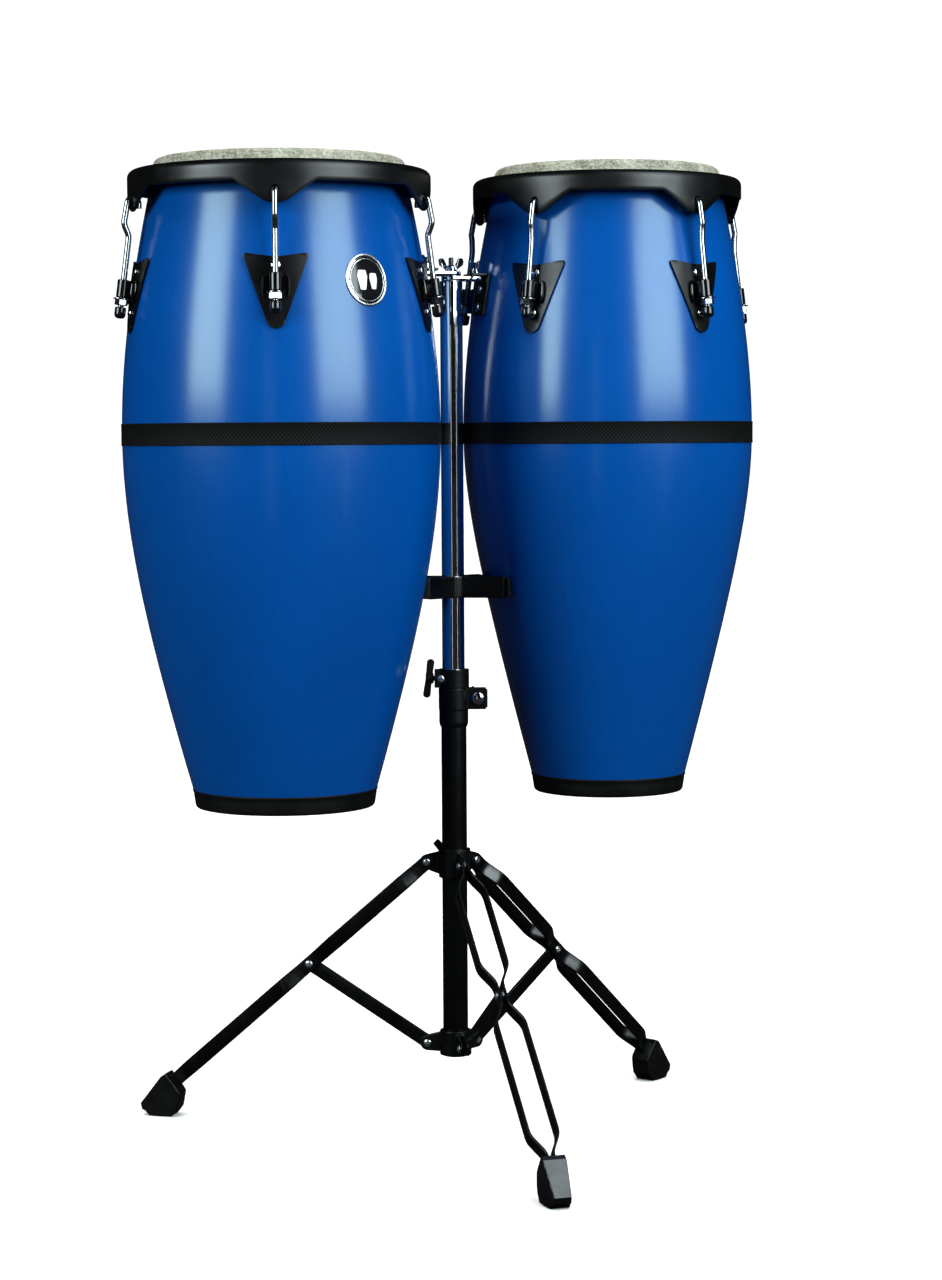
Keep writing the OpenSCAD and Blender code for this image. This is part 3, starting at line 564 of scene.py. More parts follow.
def make_bottom_ring(k):
    lip, bore = shell_r(k, RING_TOP), shell_r(k, SHELL_END) - SHELL_WALL
    top, base, seat = RING_TOP, DRUM_HEIGHT, SHELL_END + 0.2
    outline = [(lip - REBATE + 0.2, top + 0.1), (lip + 0.1, top + 0.1), (lip + 0.45, top + 0.7),
               (lip + 0.2, top + 2.2), (lip - 0.6, top + 3.2), (lip - 1.2, top + 8), (lip - 2.6, base - 3.6),
               (lip - 3.3, base - 1.6), (lip - 4.6, base - 0.4), (lip - 6.4, base), (bore + 1.2, base),
               (bore + 0.2, base - 0.9), (bore + 0.1, seat), (shell_r(k, SHELL_END) - REBATE + 0.2, seat)]
    form = moved(lathe(upright(outline), 192), at_drum(k))
    piece(f"bottom_rubber_{k}", f"drum_{k}", [(form, RUBBER)], [f"bottom_ring_{k}"], sharp=60)


def make_head(k):
    e = edge_r(k)
    crown = [(r, 0) for r in depths(0, e - 11, 6)]
    collar = through([(e - 8.2, 0.05), (e - 4.2, 0.7), (e - 0.6, 3.3), (e + 1.9, 8.5), (e + 4.1, 13.5),
                      (e + 7.4, 19.8)], 4)
    under = [(e + 5.3, 19.8), (e + 1.9, 14), (e - 0.1, 9), (e - 1.8, 4.9), (e - 4.7, 2.5), (e - 8.2, 1.9),
             (0, 1.9)]
    form = moved(lathe(upright(crown + [tuple(p) for p in collar] + under), 192), at_drum(k))
    for vert in form.verts:
        spot = vert.co - DRUM_AXIS[k]
        if DRUM_TOP - spot.z < 19 and (spot.xy.length > e - 9 or spot.z > DRUM_TOP - 0.5):
            vert.co.z -= 0.22 * (0.5 + noise.noise(spot / 26)) + 0.1 * (0.5 + noise.noise(spot / 7))
    piece(f"hide_{k}", f"drum_{k}", [(form, RAWHIDE)], [f"drum_head_{k}"], sharp=60)


# ------------------------------------------------------------------ rim with ears
RIM_TOP = 13.6
RIM_END = 36.5
RIM_T = 3.5
ROLL_R = 8
EAR_END = 60.7
EAR_HALF = 44
EAR_TIP_R = 28
TIP_TURN = math.radians(32)
EYELET_DEPTH = 45.8


def ear_drop(k, angle):
    """Depth of the rim's lower edge at an angle around the drum, in degrees; an ear hangs at each lug."""
    nearest = min(abs((angle - lug_angle(k, i) + 180) % 360 - 180) for i in range(RODS))
    u = RIM_R[k] * math.radians(nearest)
    height = EAR_END - RIM_END
    tip = EAR_TIP_R * math.sin(TIP_TURN)
    knee = EAR_TIP_R * (1 - math.cos(TIP_TURN))
    if u < tip:
        rise = EAR_TIP_R - math.sqrt(EAR_TIP_R ** 2 - u * u)
    else:
        rise = knee + (u - tip) * (height - knee) / (EAR_HALF - tip)
    over = height - rise
    # Near its foot an ear runs into the rim's straight edge without a crease
    soft = 0.5
    return RIM_END + (over if over > 12 * soft else soft * math.log1p(math.exp(over / soft)))


def make_rim(k):
    e, o = edge_r(k), RIM_R[k]
    top = [(e + 7, 15.2), (e + 7, 14.6), (e + 7.5, 14.0), (e + 8.5, RIM_TOP)]
    roll = arc(o - ROLL_R, RIM_TOP + ROLL_R, ROLL_R, -90, 0, 8)
    inner_roll = arc(o - ROLL_R, RIM_TOP + ROLL_R, ROLL_R - RIM_T, 0, -90, 6)
    lip = [(e + 14.5, 17.1), (e + 14.5, 15.2)]
    form = bmesh.new()
    steps = 480
    rings = []
    for n in range(steps):
        degrees = n * 360 / steps
        end = ear_drop(k, degrees)
        start = RIM_TOP + ROLL_R
        skirt = [(o, start + (end - 1.3 - start) * t) for t in (0.25, 0.5, 0.75, 1)]
        edge = [(o - 0.5, end - 0.35), (o - RIM_T / 2, end), (o - RIM_T + 0.5, end - 0.35)]
        back = [(o - RIM_T, start + (end - 1.3 - start) * t) for t in (1, 0.75, 0.5, 0.25)]
        turned = turn(degrees)
        outline = upright(top + roll + skirt + edge + back + inner_roll + lip)
        rings.append([form.verts.new(turned @ Vector((r, 0, z))) for r, z in outline])
    for here, there in zip(rings, rings[1:] + rings[:1]):
        for m in range(len(here)):
            j = (m + 1) % len(here)
            form.faces.new((here[m], there[m], there[j], here[j]))
    bmesh.ops.recalc_face_normals(form, faces=form.faces)
    eyelet = prism(circle(4.6, 24), -12, 12)
    holes = stamped(eyelet, [turn(lug_angle(k, i)) @ shift(o - 4, 0, DRUM_TOP - EYELET_DEPTH) @ turn(90, "Y")
                             for i in range(RODS)])
    form = moved(carved(form, holes), at_drum(k))
    piece(f"rim_shell_{k}", f"rim_{k}", [(form, RIM_BLACK)], [f"rim_{k}"])


# ------------------------------------------------------------------ rods, nuts, caps and lugs
ROD_R = 3.3
ROD_STANDOFF = 14.5
ROD_LEAN = 7.5
EYE_DEPTH = 143
EYE_H = 19
EYE_R = 6.5
EYE_BORE = 4
HOOK_R = 6.2
HOOK_DEPTH = EYELET_DEPTH + HOOK_R
NUT_DEPTH = EYE_DEPTH + EYE_H / 2 + 2.2
ROD_END = 170
CAP_END = 175


def rod_at(k, s):
    return shell_r(k, EYE_DEPTH) + ROD_STANDOFF + math.tan(math.radians(ROD_LEAN)) * (s - EYE_DEPTH)


def at_lugs(k):
    return [at_drum(k, lug_angle(k, i)) for i in range(RODS)]


def on_rod(k, s):
    return shift(rod_at(k, s), 0, DRUM_TOP - s) @ turn(-ROD_LEAN, "Y")


def make_rods(k):
    x = RIM_R[k] - RIM_T / 2
    out = RIM_R[k] + 8
    hook = [(x - HOOK_R, HOOK_DEPTH + 5), *arc(x, HOOK_DEPTH, HOOK_R, 180, 360, 8)]
    stem = [(out - 0.9, 66), (out, 71), (out - 0.7, 76.5), (rod_at(k, 86) + 0.7, 85.5), (rod_at(k, 92), 92),
            (rod_at(k, 100), 100), (rod_at(k, 130), 130), (rod_at(k, ROD_END), ROD_END)]
    path = [(p[0], 0, DRUM_TOP - p[1]) for p in through(hook + stem, 7)]
    thread_top = DRUM_TOP - (EYE_DEPTH + EYE_H / 2)
    plain = [p for p in path if p[2] > thread_top]
    form = sweep(plain, circle(ROD_R, 20))
    length = (ROD_END - EYE_DEPTH - EYE_H / 2) / math.cos(math.radians(ROD_LEAN))
    thread = []
    for z in depths(0, length, 0.5):
        thread.append((ROD_R - (0.45 if round(z / 0.5) % 3 == 0 else 0.02), z))
    screw = moved(lathe([(0, 0), *thread, (0, length)], 20), on_rod(k, ROD_END))
    piece(f"tension_rods_{k}", f"rim_{k}",
          [(stamped(form, at_lugs(k)), ROD_CHROME), (stamped(screw, at_lugs(k)), ROD_CHROME)],
          [f"hook_rods_{k}"])


def make_caps(k):
    outline = [(0, 0), (2.8, 0.1), (4.6, 0.9), (5.7, 2.4), (6.1, 4.2), (6.1, 11.2), (5.7, 12.1), (5.2, 12.2),
               (ROD_R + 0.05, 12.2), (ROD_R + 0.05, 5), (0, 5)]
    form = moved(lathe(outline, 32), on_rod(k, CAP_END))
    piece(f"tip_caps_{k}", f"rim_{k}", [(stamped(form, at_lugs(k)), CAP_RUBBER)],
          [f"rod_caps_{k}"], sharp=50)


def make_nuts(k):
    washer = lathe([(EYE_BORE, 0.1), (8.9, 0.1), (9.4, 0.4), (9.4, 0.9), (6.2, 2.0), (EYE_BORE, 2.0)], 40)
    hexagon = prism(circle(7.3, 6), -6, 0)
    dome = lathe([(0, -6.2), (6.2, -6.2), (7.6, -5.3), (7.6, -0.7), (6.2, 0.05), (0, 0.05)], 48)
    nut = as_object(hexagon)
    turned = as_object(dome)
    both = nut.modifiers.new("both", "BOOLEAN")
    both.object = turned
    both.operation = "INTERSECT"
    both.solver = "EXACT"
    nut_form = as_form(nut)
    bpy.data.objects.remove(turned)
    nut_form = carved(nut_form, lathe([(0, -9), (EYE_BORE, -9), (EYE_BORE, 3), (0, 3)], 24))
    where = [place @ on_rod(k, NUT_DEPTH) for place in at_lugs(k)]
    piece(f"nuts_and_washers_{k}", f"drum_{k}",
          [(stamped(washer, where), ROD_CHROME), (stamped(nut_form, where), ROD_CHROME)],
          [f"tuning_nuts_{k}"], sharp=25)


PLATE_DEPTH = 151
PLATE_T = 2.6
PLATE_CORNER = 35
PLATE_UP = 40
PLATE_DOWN = 40


def on_surface(k, s, outline, gap, thick, step=5.0, bevel=0.7):
    """A plate of an (across, up) outline, laid on the shell about depth s where x points outward."""
    flat = bmesh.new()
    flat.faces.new([flat.verts.new((x, y, 0)) for x, y in outline])
    low, high = -80.0, 80.0
    for axis in (0, 1):
        for value in depths(low, high, step):
            normal = Vector((1, 0, 0)) if axis == 0 else Vector((0, 1, 0))
            bmesh.ops.bisect_plane(flat, geom=flat.verts[:] + flat.edges[:] + flat.faces[:],
                                   plane_co=normal * value, plane_no=normal)
    bmesh.ops.recalc_face_normals(flat, faces=flat.faces)
    for face in flat.faces:
        if face.normal.z < 0:
            face.normal_flip()
    lifted = bmesh.ops.extrude_face_region(flat, geom=flat.faces[:])
    tops = {v for v in lifted["geom"] if isinstance(v, bmesh.types.BMVert)}
    for vert in flat.verts:
        vert.co.z = gap + (thick if vert in tops else 0)
    if bevel:
        rim_edges = [e for e in flat.edges if len(e.link_faces) == 2 and e.calc_face_angle(0) > 1
                     and all(v in tops for v in e.verts)]
        bmesh.ops.bevel(flat, geom=rim_edges, offset=bevel, segments=2, profile=0.5, affect="EDGES")
    lean = math.cos(math.radians(shell_tilt(k, s)))
    for vert in flat.verts:
        depth = s - vert.co.y * lean
        r = shell_r(k, depth)
        tilt = math.radians(shell_tilt(k, depth))
        swing = vert.co.x / r
        out = r + vert.co.z * math.cos(tilt)
        height = DRUM_TOP - depth + vert.co.z * math.sin(tilt)
        vert.co = Vector((out * math.cos(swing), out * math.sin(swing), height))
    bmesh.ops.recalc_face_normals(flat, faces=flat.faces)
    return flat


def plate_outline():
    top = PLATE_UP
    return rounded([(-PLATE_CORNER, top, 3.2), (0, top - 5, 16), (PLATE_CORNER, top, 3.2),
                    (8.2, 3 - PLATE_DOWN, 7.5), (0, -PLATE_DOWN - 1.2, 7), (-8.2, 3 - PLATE_DOWN, 7.5)], 3, 6)


def make_lugs(k):
    plate = on_surface(k, PLATE_DEPTH, plate_outline(), 0.3, PLATE_T)
    eye = lathe([(EYE_BORE, -EYE_H / 2), (EYE_R - 0.7, -EYE_H / 2), (EYE_R, 0.7 - EYE_H / 2),
                 (EYE_R, EYE_H / 2 - 0.7), (EYE_R - 0.7, EYE_H / 2), (EYE_BORE, EYE_H / 2)], 48)
    lift = rod_at(k, EYE_DEPTH) - shell_r(k, EYE_DEPTH)
    foot, flank = 1.5 - lift, 4.6 - lift
    saddle = prism(rounded([(foot, -9.4, 0.2), (foot, 9.4, 0.2), (flank, 8.2, 2.4), (0.6, 6.0, 1),
                            (-2.5, 4.6, 0.3), (-2.5, -4.6, 0.3), (0.6, -6.0, 1), (flank, -8.2, 2.4)], 0.3, 5),
                   1 - EYE_H / 2, EYE_H / 2 - 1)
    soften(saddle, 0.7)
    forms = [moved(eye, on_rod(k, EYE_DEPTH)), moved(saddle, on_rod(k, EYE_DEPTH))]
    for m in (-1, 1):
        bow = [Vector((0, m * (10.8 + 2.6 * math.cos(math.radians(t))), 13 * math.sin(math.radians(t))))
               for t in depths(-74, 74, 12)]
        ridge = sweep(bow, [(x * 4.8, y * 1.5) for x, y in circle(1, 14)],
                      lambda t: (0.35 + 0.65 * math.sin(math.pi * t) ** 0.4,) * 2, (0, 1, 0))
        forms.append(moved(ridge, on_rod(k, EYE_DEPTH + 2) @ shift(4.2 - lift, 0, 0)))
    parts = [(plate, LUG_BLACK)] + [(form, EYE_BLACK) for form in forms]
    piece(f"lug_castings_{k}", f"drum_{k}",
          [(stamped(form, at_lugs(k)), paint) for form, paint in parts], [f"lugs_{k}"])


def cross_screw(head_r, head_h, shank_r, shank):
    """A domed screw with a cross recess; its head stands on z = 0."""
    dome = [(head_r * math.cos(math.radians(a)), 0.5 + (head_h - 0.5) * math.sin(math.radians(a)))
            for a in depths(0, 90, 11)]
    form = lathe([(0, -shank), (shank_r - 0.5, -shank), (shank_r, 0.5 - shank), (shank_r, 0),
                  (head_r - 0.2, 0), (head_r, 0.2), *dome[:-1], (0, head_h)], 32)
    reach, wide = head_r * 0.56, head_r * 0.13
    arms = [(-reach, -wide), (reach, -wide), (reach, wide), (-reach, wide)]
    cross = [prism(arms, head_h - 1.4, head_h + 2), moved(prism(arms, head_h - 1.4, head_h + 2), turn(90))]
    return carved(form, *cross)


SCREW_DEPTHS = (125.2, 169.5)
BRACKET_SCREWS = (14.5, 35)


def screw_place(k, s):
    return shift(shell_r(k, s), 0, DRUM_TOP - s) @ turn(90 - shell_tilt(k, s), "Y")


def tab_depth(k):
    return DRUM_TOP - (box_mm(f"arm_plate_{k}")[1].z + 0.3)


def make_shell_screws(k):
    screw = cross_screw(5.3, 2.7, 2.5, 8)
    where = [place @ screw_place(k, s) @ shift(0, 0, 3.0) @ turn(31 * n)
             for n, place in enumerate(at_lugs(k)) for s in SCREW_DEPTHS]
    where += [at_drum(k, FACING[k]) @ screw_place(k, tab_depth(k) + s) @ shift(0, 0, 3.4)
              for s in BRACKET_SCREWS]
    piece(f"plate_screws_{k}", f"drum_{k}", [(stamped(screw, where), CHROME)], [f"shell_screws_{k}"])


def make_bracket(k):
    form = moulded(f"stand_bracket_{k}", 0.5, 4, 0.4)
    piece(f"hanging_bracket_{k}", f"drum_{k}", [(form, LUG_BLACK)],
          [f"stand_bracket_{k}"], sharp=50)


def make_badge():
    """A bevelled ring, a thin inner ring, an enamel field and a plain raised drum shape between two pins."""
    k = "large"
    depth = 138.8
    angle = lug_angle(k, 3) + 180 / RODS
    squeeze = 0.93
    oval = [(x * squeeze, y) for x, y in circle(28, 72)]
    field = [(x * squeeze, y) for x, y in circle(24.5, 64)]
    base = on_surface(k, depth, oval, 0.1, 1.2, 6, 0.5)
    enamel = on_surface(k, depth, field, 1.0, 0.5, 6, 0.2)

    def ring(r, thick, tall, lift):
        spots = []
        for n in range(97):
            a = 2 * math.pi * n / 96
            s = depth - r * math.sin(a) * math.cos(math.radians(shell_tilt(k, depth)))
            out = shell_r(k, s) + lift
            swing = r * squeeze * math.cos(a) / shell_r(k, s)
            spots.append(Vector((out * math.cos(swing), out * math.sin(swing), DRUM_TOP - s)))
        return sweep(spots, [(a * thick, b * tall) for a, b in circle(1, 12)], None, (1, 0, 0))

    outer = ring(26.6, 1.4, 0.75, 1.15)
    inner = ring(22.6, 0.45, 0.4, 1.45)
    big = rounded([(-5, 10), (5, 10), (6.4, 3), (3.4, -11), (-3.4, -11), (-6.4, 3)], 1.6)
    little = rounded([(-4.2, 8), (4.2, 8), (5.2, 2.4), (2.8, -9), (-2.8, -9), (-5.2, 2.4)], 1.4)
    emblem = [on_surface(k, depth, [(x * squeeze + dx, y + dy) for x, y in shape], 1.4, 0.45, 6, 0.15)
              for dx, dy, shape in ((-6.6, 0, big), (7.2, -1, little))]
    pin = [(0, 0), (1.5, 0), (1.5, 0.5), (0.9, 1.0), (0, 1.1)]
    swing = math.degrees(25.2 * squeeze / shell_r(k, depth))
    pins = [moved(lathe(pin, 20), turn(m * swing) @ screw_place(k, depth) @ shift(0, 0, 1.2))
            for m in (-1, 1)]
    parts = [(base, CHROME), (enamel, ENAMEL), (outer, SATIN_CHROME), (inner, SATIN_CHROME)]
    parts += [(form, EMBLEM_WHITE) for form in emblem] + [(form, CHROME) for form in pins]
    piece("badge_plate", "drum_large",
          [(moved(form, at_drum(k, angle)), paint) for form, paint in parts], ["badge"])


for size in SIZES:
    make_shell(size)
    make_band(size)
    make_bottom_ring(size)
    make_head(size)
    make_rim(size)
    make_rods(size)
    make_caps(size)
    make_nuts(size)
    make_lugs(size)
    make_shell_screws(size)
    make_bracket(size)
make_badge()


# ------------------------------------------------------------------ top of the stand
UPPER_R = 12.7
LOWER_R = 14.3
STUD_R = 3


def tube(r, wall, low, high):
    chamfer = 0.35
    return lathe([(r - wall, low), (r - chamfer, low), (r, low + chamfer), (r, high - chamfer),
                  (r - chamfer, high), (r - wall, high)], 96)


def threaded(r, low, high):
    """A threaded stud on Z, drawn as close rings with a chamfered tip."""
    pitch, depth = 1.0, 0.42
    rows = depths(low, high - 1, pitch / 2)
    edge = [(r if n % 2 else r - depth, z) for n, z in enumerate(rows)]
    return lathe([(0, low), *edge, (r - 1.1, high), (0, high)], 28)


def make_mast():
    low, high = box_mm("upper_tube")
    mast = moved(tube(UPPER_R, 1.4, low.z, high.z), at_pole())
    piece("mast_tube", "mast", [(mast, CHROME)], ["upper_tube"])
    head_top = box_mm("pole_head")[1].z
    plug = lathe([(0, high.z - 30), (UPPER_R - 1.5, high.z - 30), (UPPER_R - 1.5, high.z + 0.02),
                  (UPPER_R - 0.3, high.z + 0.05), (UPPER_R, high.z + 0.4), (UPPER_R - 0.3, high.z + 1.2),
                  (0, high.z + 1.2)], 64)
    stud = threaded(STUD_R, high.z, head_top)
    piece("mast_plug", "mast",
          [(moved(plug, at_pole()), STEEL), (moved(stud, at_pole()), ROD_CHROME)], ["pole_head"])


STUD_X = 29
STUD_HOLE_R = STUD_R + 0.06
CLAMP_TURN = -20
ARM_W = 22
ARM_END = 35.3


def make_arms():
    for k, side in (("large", -1), ("small", 1)):
        low, high = box_mm(f"arm_plate_{k}")
        r = ARM_W / 2
        outline = arc(0, 0, r, 90, 270, 20)
        for m in (-1, 1):
            outline += arc(ARM_END - 4, m * (r - 4), 4, 45 * (m - 1), 45 * (m + 1), 6)
        plate = soften(prism(outline, low.z, high.z), 0.6, 3)
        if side < 0:
            plate = moved(plate, turn(180))
        holes = [lathe([(0, low.z - 2), (r_hole, low.z - 2), (r_hole, high.z + 2), (0, high.z + 2)], 32)
                 for r_hole in (STUD_HOLE_R, STUD_R)]
        plate = carved(plate, holes[0], moved(holes[1], shift(side * STUD_X)))
        piece(f"arm_{k}", "mast", [(moved(plate, at_pole()), CHROME)], [f"arm_plate_{k}"])
    studs = []
    for k, side in (("large", -1), ("small", 1)):
        low = box_mm(f"arm_plate_{k}")[0].z
        studs.append(moved(threaded(STUD_R, low, low + 21), at_pole() @ shift(side * STUD_X)))
    piece("drum_studs", "mast", [(s, ROD_CHROME) for s in studs], ["arm_studs"])


def wing_nut(span, hub_r, hole_r):
    """A forged wing nut: conical hub and two cupped ears, its foot at z = 0."""
    hub = lathe([(hole_r, 0), (hub_r + 0.8, 0), (hub_r + 1.2, 0.4), (hub_r + 0.4, 3.4), (hub_r - 0.5, 6.2),
                 (hub_r - 1.0, 6.6), (hole_r, 6.6)], 40)
    ears = []
    for m in (-1, 1):
        outline = rounded([(hub_r - 1.8, 1.4, 0.4), (hub_r + 1.2, 2.0, 1.5), (span - 0.9, 7.0, 2.2),
                           (span, 14.6, 3.2), (span - 6.6, 14.4, 3), (hub_r - 1.4, 6.4, 1.5)], 1, 5)
        ear = soften(prism([(m * x, y) for x, y in outline], -1.7, 1.7), 1.0, 3)
        ears.append(moved(ear, turn(90, "X")))
    return [hub, *ears]


def make_wing_nuts():
    arm_top = box_mm("arm_plate_large")[1].z
    jobs = [("pole_nut", "pole_wing_nut", "wing_nut_pole", 14.5, 5.6,
             at_pole() @ shift(0, 0, arm_top + 0.3) @ turn(CLAMP_TURN))]
    for k, side in (("large", -1), ("small", 1)):
        z = DRUM_TOP - tab_depth(k) + 3.3
        jobs.append((f"nut_{k}", f"wing_nut_{k}", f"wing_nut_drum_{k}", 10.4, 5,
                     at_pole() @ shift(side * STUD_X, 0, z) @ turn(25)))
    for body, node, name, span, hub_r, place in jobs:
        forms = [moved(form, place) for form in wing_nut(span, hub_r, STUD_HOLE_R)]
        piece(name, body, [(form, CHROME) for form in forms], [node])


def make_cradle():
    band = moulded("cradle_band", 0.7, 4, 0.3)
    piece("cradle_frame", "mast", [(band, STRIP_BLACK)], ["cradle_band"], sharp=50)
    pads = moulded("cradle_pads", 0.6, 3, 0.3)
    piece("cradle_cushions", "mast", [(pads, PAD_RUBBER)], ["cradle_pads"], sharp=60)


# ------------------------------------------------------------------ clamp, lock and tripod
def casting(name, body, node, voxel, rounds, keep):
    """A black casting in the place of its CAD node."""
    piece(name, body, [(moulded(node, voxel, rounds, keep), CAST_BLACK)], [node], sharp=50)


def make_clamp():
    low, high = box_mm("lower_tube")
    floor, bore = low.z + 3, LOWER_R - 1.2
    lower = lathe([(0, low.z), (LOWER_R - 1.4, low.z), (LOWER_R - 0.3, low.z + 0.2), (LOWER_R, low.z + 0.9),
                   (LOWER_R, high.z), (bore, high.z), (bore, floor), (0, floor)], 96)
    piece("base_tube", "stand", [(moved(lower, at_pole()), TUBE_BLACK)], ["lower_tube"])
    casting("split_clamp", "stand", "height_clamp", 0.5, 3, 0.35)
    casting("thumb_nut", "clamp_nut", "clamp_wing_nut", 0.4, 4, 0.4)
    place = at_pole(CLAMP_TURN) @ shift(27.5, 0, 493.5) @ turn(90, "X")
    head_r, head_foot, head_h = 7.6, 8.4, 3.4
    angles = [math.radians(a) for a in depths(0, 90, 11)]
    head = [(head_r * math.cos(a), head_foot + head_h * math.sin(a)) for a in angles]
    bolt = lathe([(0, -21), (3.4, -21), (4, -20.4), (4, 8.1), (7.3, 8.1), (head_r, head_foot), *head[1:-1],
                  (0, 11.8)], 48)
    piece("carriage_bolt", "stand", [(moved(bolt, place), CHROME)], ["clamp_bolt"])
    casting("lock_ring", "lock", "memory_lock", 0.5, 3, 0.35)
    low, high = box_mm("memory_lock")
    face = at_pole(CLAMP_TURN) @ shift(-14, -11, (low.z + high.z) / 2) @ turn(90, "X")
    screw = moved(cross_screw(4.4, 1.9, 2.5, 3), face @ turn(20))
    piece("lock_screw", "lock", [(screw, SATIN_CHROME)], ["memory_lock_screw"])
    casting("lock_handle", "lock_wing", "memory_lock_wing", 0.4, 5, 0.4)


def leg_frame(side):
    """Azimuth of a leg and its upper pivot, from its joint."""
    hinge = joint(f"leg_{side}_fold")
    azimuth = math.degrees(math.atan2(-hinge["axis"][0], hinge["axis"][1]))
    pivot = Vector(hinge["pos_m"]) / MM
    return azimuth, pivot


KNEE_R = 172
KNEE_Z = 184
LEG_LEN = 430
STRIP_W = 16
STRIP_T = 2.8
LUG_T = 3.6
GAP_HALF = LUG_T / 2 + 0.3
STRIP_MID = GAP_HALF + STRIP_T / 2
BOW_MID = 16
PIN_R = 3
PIN_HOLE_R = PIN_R + 0.06
JOG_START = 15
JOG_LEN = 23
FOOT_WAIST = 34


def strip_section(width, thick):
    return rounded([(-thick / 2, -width / 2), (thick / 2, -width / 2), (thick / 2, width / 2),
                    (-thick / 2, width / 2)], 0.9, 3)


def make_leg(side):
    azimuth, pivot = leg_frame(side)
    reach = math.hypot(pivot.x - POLE.x, pivot.y - POLE.y)
    knee_len = math.hypot(KNEE_R - reach, pivot.z - KNEE_Z)
    tilt = math.degrees(math.atan2(KNEE_R - reach, pivot.z - KNEE_Z))
    place = at_pole(azimuth) @ shift(reach, 0, pivot.z) @ turn(90 - tilt, "Y")
    half = STRIP_W / 2
    corners = [(0, STRIP_MID), (JOG_START, STRIP_MID), (JOG_START + JOG_LEN, BOW_MID),
               (knee_len - JOG_START - JOG_LEN, BOW_MID), (knee_len - JOG_START, STRIP_MID),
               (knee_len + JOG_START, STRIP_MID), (knee_len + JOG_START + JOG_LEN, BOW_MID),
               (LEG_LEN - FOOT_WAIST - JOG_LEN, BOW_MID), (LEG_LEN - FOOT_WAIST, STRIP_MID),
               (LEG_LEN, STRIP_MID)]
    rounds = rounded([corners[0] + (0,), *[(x, y, 26) for x, y in corners[1:-1]], corners[-1] + (0,)], 26, 5)
    head = [(-half * math.cos(math.radians(a)), STRIP_MID) for a in depths(0, 80, 10)]
    forms = []
    for m in (-1, 1):
        path = [Vector((x, m * y, 0)) for x, y in head + rounds]

        def size(t, path=path):
            x = path[min(len(path) - 1, round(t * (len(path) - 1)))].x
            return (1, max(0.12, math.sqrt(max(0, 1 - (x / half) ** 2)))) if x < 0 else (1, 1)

        strip = sweep(path, strip_section(STRIP_W, STRIP_T), size, (0, 0, 1))
        hole = moved(prism(circle(PIN_HOLE_R, 32), -30, 30), turn(90, "X"))
        hole_low = moved(prism(circle(PIN_R, 32), -30, 30), shift(knee_len) @ turn(90, "X"))
        forms.append(moved(carved(strip, hole, hole_low), place))
    piece(f"leg_strips_{side}", f"leg_{side}", [(form, STRIP_BLACK) for form in forms],
          [f"leg_{side}"])
    screw = cross_screw(4.6, 2.2, PIN_R, STRIP_T - 0.1)
    outside = GAP_HALF + STRIP_T + 0.05
    knees = [place @ shift(knee_len, m * outside, 0) @ turn(-90 * m, "X") for m in (-1, 1)]
    piece(f"knee_screws_{side}", f"leg_{side}", [(stamped(screw, knees), SATIN_CHROME)],
          [f"leg_screws_{side}"])
    foot = moulded(f"foot_{side}", 0.6, 3, 0.3)
    piece(f"rubber_foot_{side}", f"leg_{side}", [(foot, FOOT_RUBBER)], [f"foot_{side}"], sharp=40)


def make_brace(side):
    azimuth, _ = leg_frame(side)
    pivot = Vector(joint(f"brace_{side}_fold")["pos_m"]) / MM
    reach = math.hypot(pivot.x - POLE.x, pivot.y - POLE.y)
    length = math.hypot(KNEE_R - reach, KNEE_Z - pivot.z)
    tilt = math.degrees(math.atan2(KNEE_R - reach, KNEE_Z - pivot.z))
    r = STRIP_W / 2
    outline = arc(0, 0, r, 90, 270, 18) + arc(length, 0, r, -90, 90, 18)
    bar = moved(soften(prism(outline, -LUG_T / 2, LUG_T / 2), 0.7, 3), turn(90, "X"))
    holes = [moved(prism(circle(PIN_HOLE_R, 32), -10, 10), shift(x) @ turn(90, "X")) for x in (0, length)]
    bar = carved(bar, *holes)
    place = at_pole(azimuth) @ shift(reach, 0, pivot.z) @ turn(tilt - 90, "Y")
    piece(f"brace_bar_{side}", f"brace_{side}", [(moved(bar, place), STRIP_BLACK)],
          [f"brace_{side}"])


def make_collars():
    casting("top_collar", "collar", "upper_collar", 0.5, 3, 0.35)
    casting("base_collar", "stand", "lower_collar", 0.5, 3, 0.35)
    casting("collar_handle", "collar_bolt", "collar_wing_bolt", 0.3, 3, 0.4)
    for node, name, body, joint_name, half in (
            ("upper_collar_pins", "top_pins", "collar", "leg", STRIP_MID + STRIP_T / 2 + 0.3),
            ("lower_collar_pins", "base_pins", "stand", "brace", GAP_HALF + 3.3)):
        where = []
        for side in FEET:
            azimuth, _ = leg_frame(side)
            pivot = Vector(joint(f"{joint_name}_{side}_fold")["pos_m"]) / MM
            where += [Matrix.Translation(pivot) @ turn(azimuth) @ turn(-90 * m, "X") for m in (-1, 1)]
        pin = cross_screw(4.6, 2.2, PIN_R, half)
        piece(name, body, [(stamped(moved(pin, shift(0, 0, half)), where), SATIN_CHROME)], [node])


make_mast()
make_arms()
make_wing_nuts()
make_cradle()
make_clamp()
make_collars()
for side in FEET:
    make_leg(side)
    make_brace(side)

# CAD nodes that stay as they are and only take a material
for node, paint in (("flesh_hoop_large", STEEL), ("flesh_hoop_small", STEEL), ("tube_bushing", NYLON)):
    frame["nodes"][node].data.materials.clear()
    frame["nodes"][node].data.materials.append(paint)


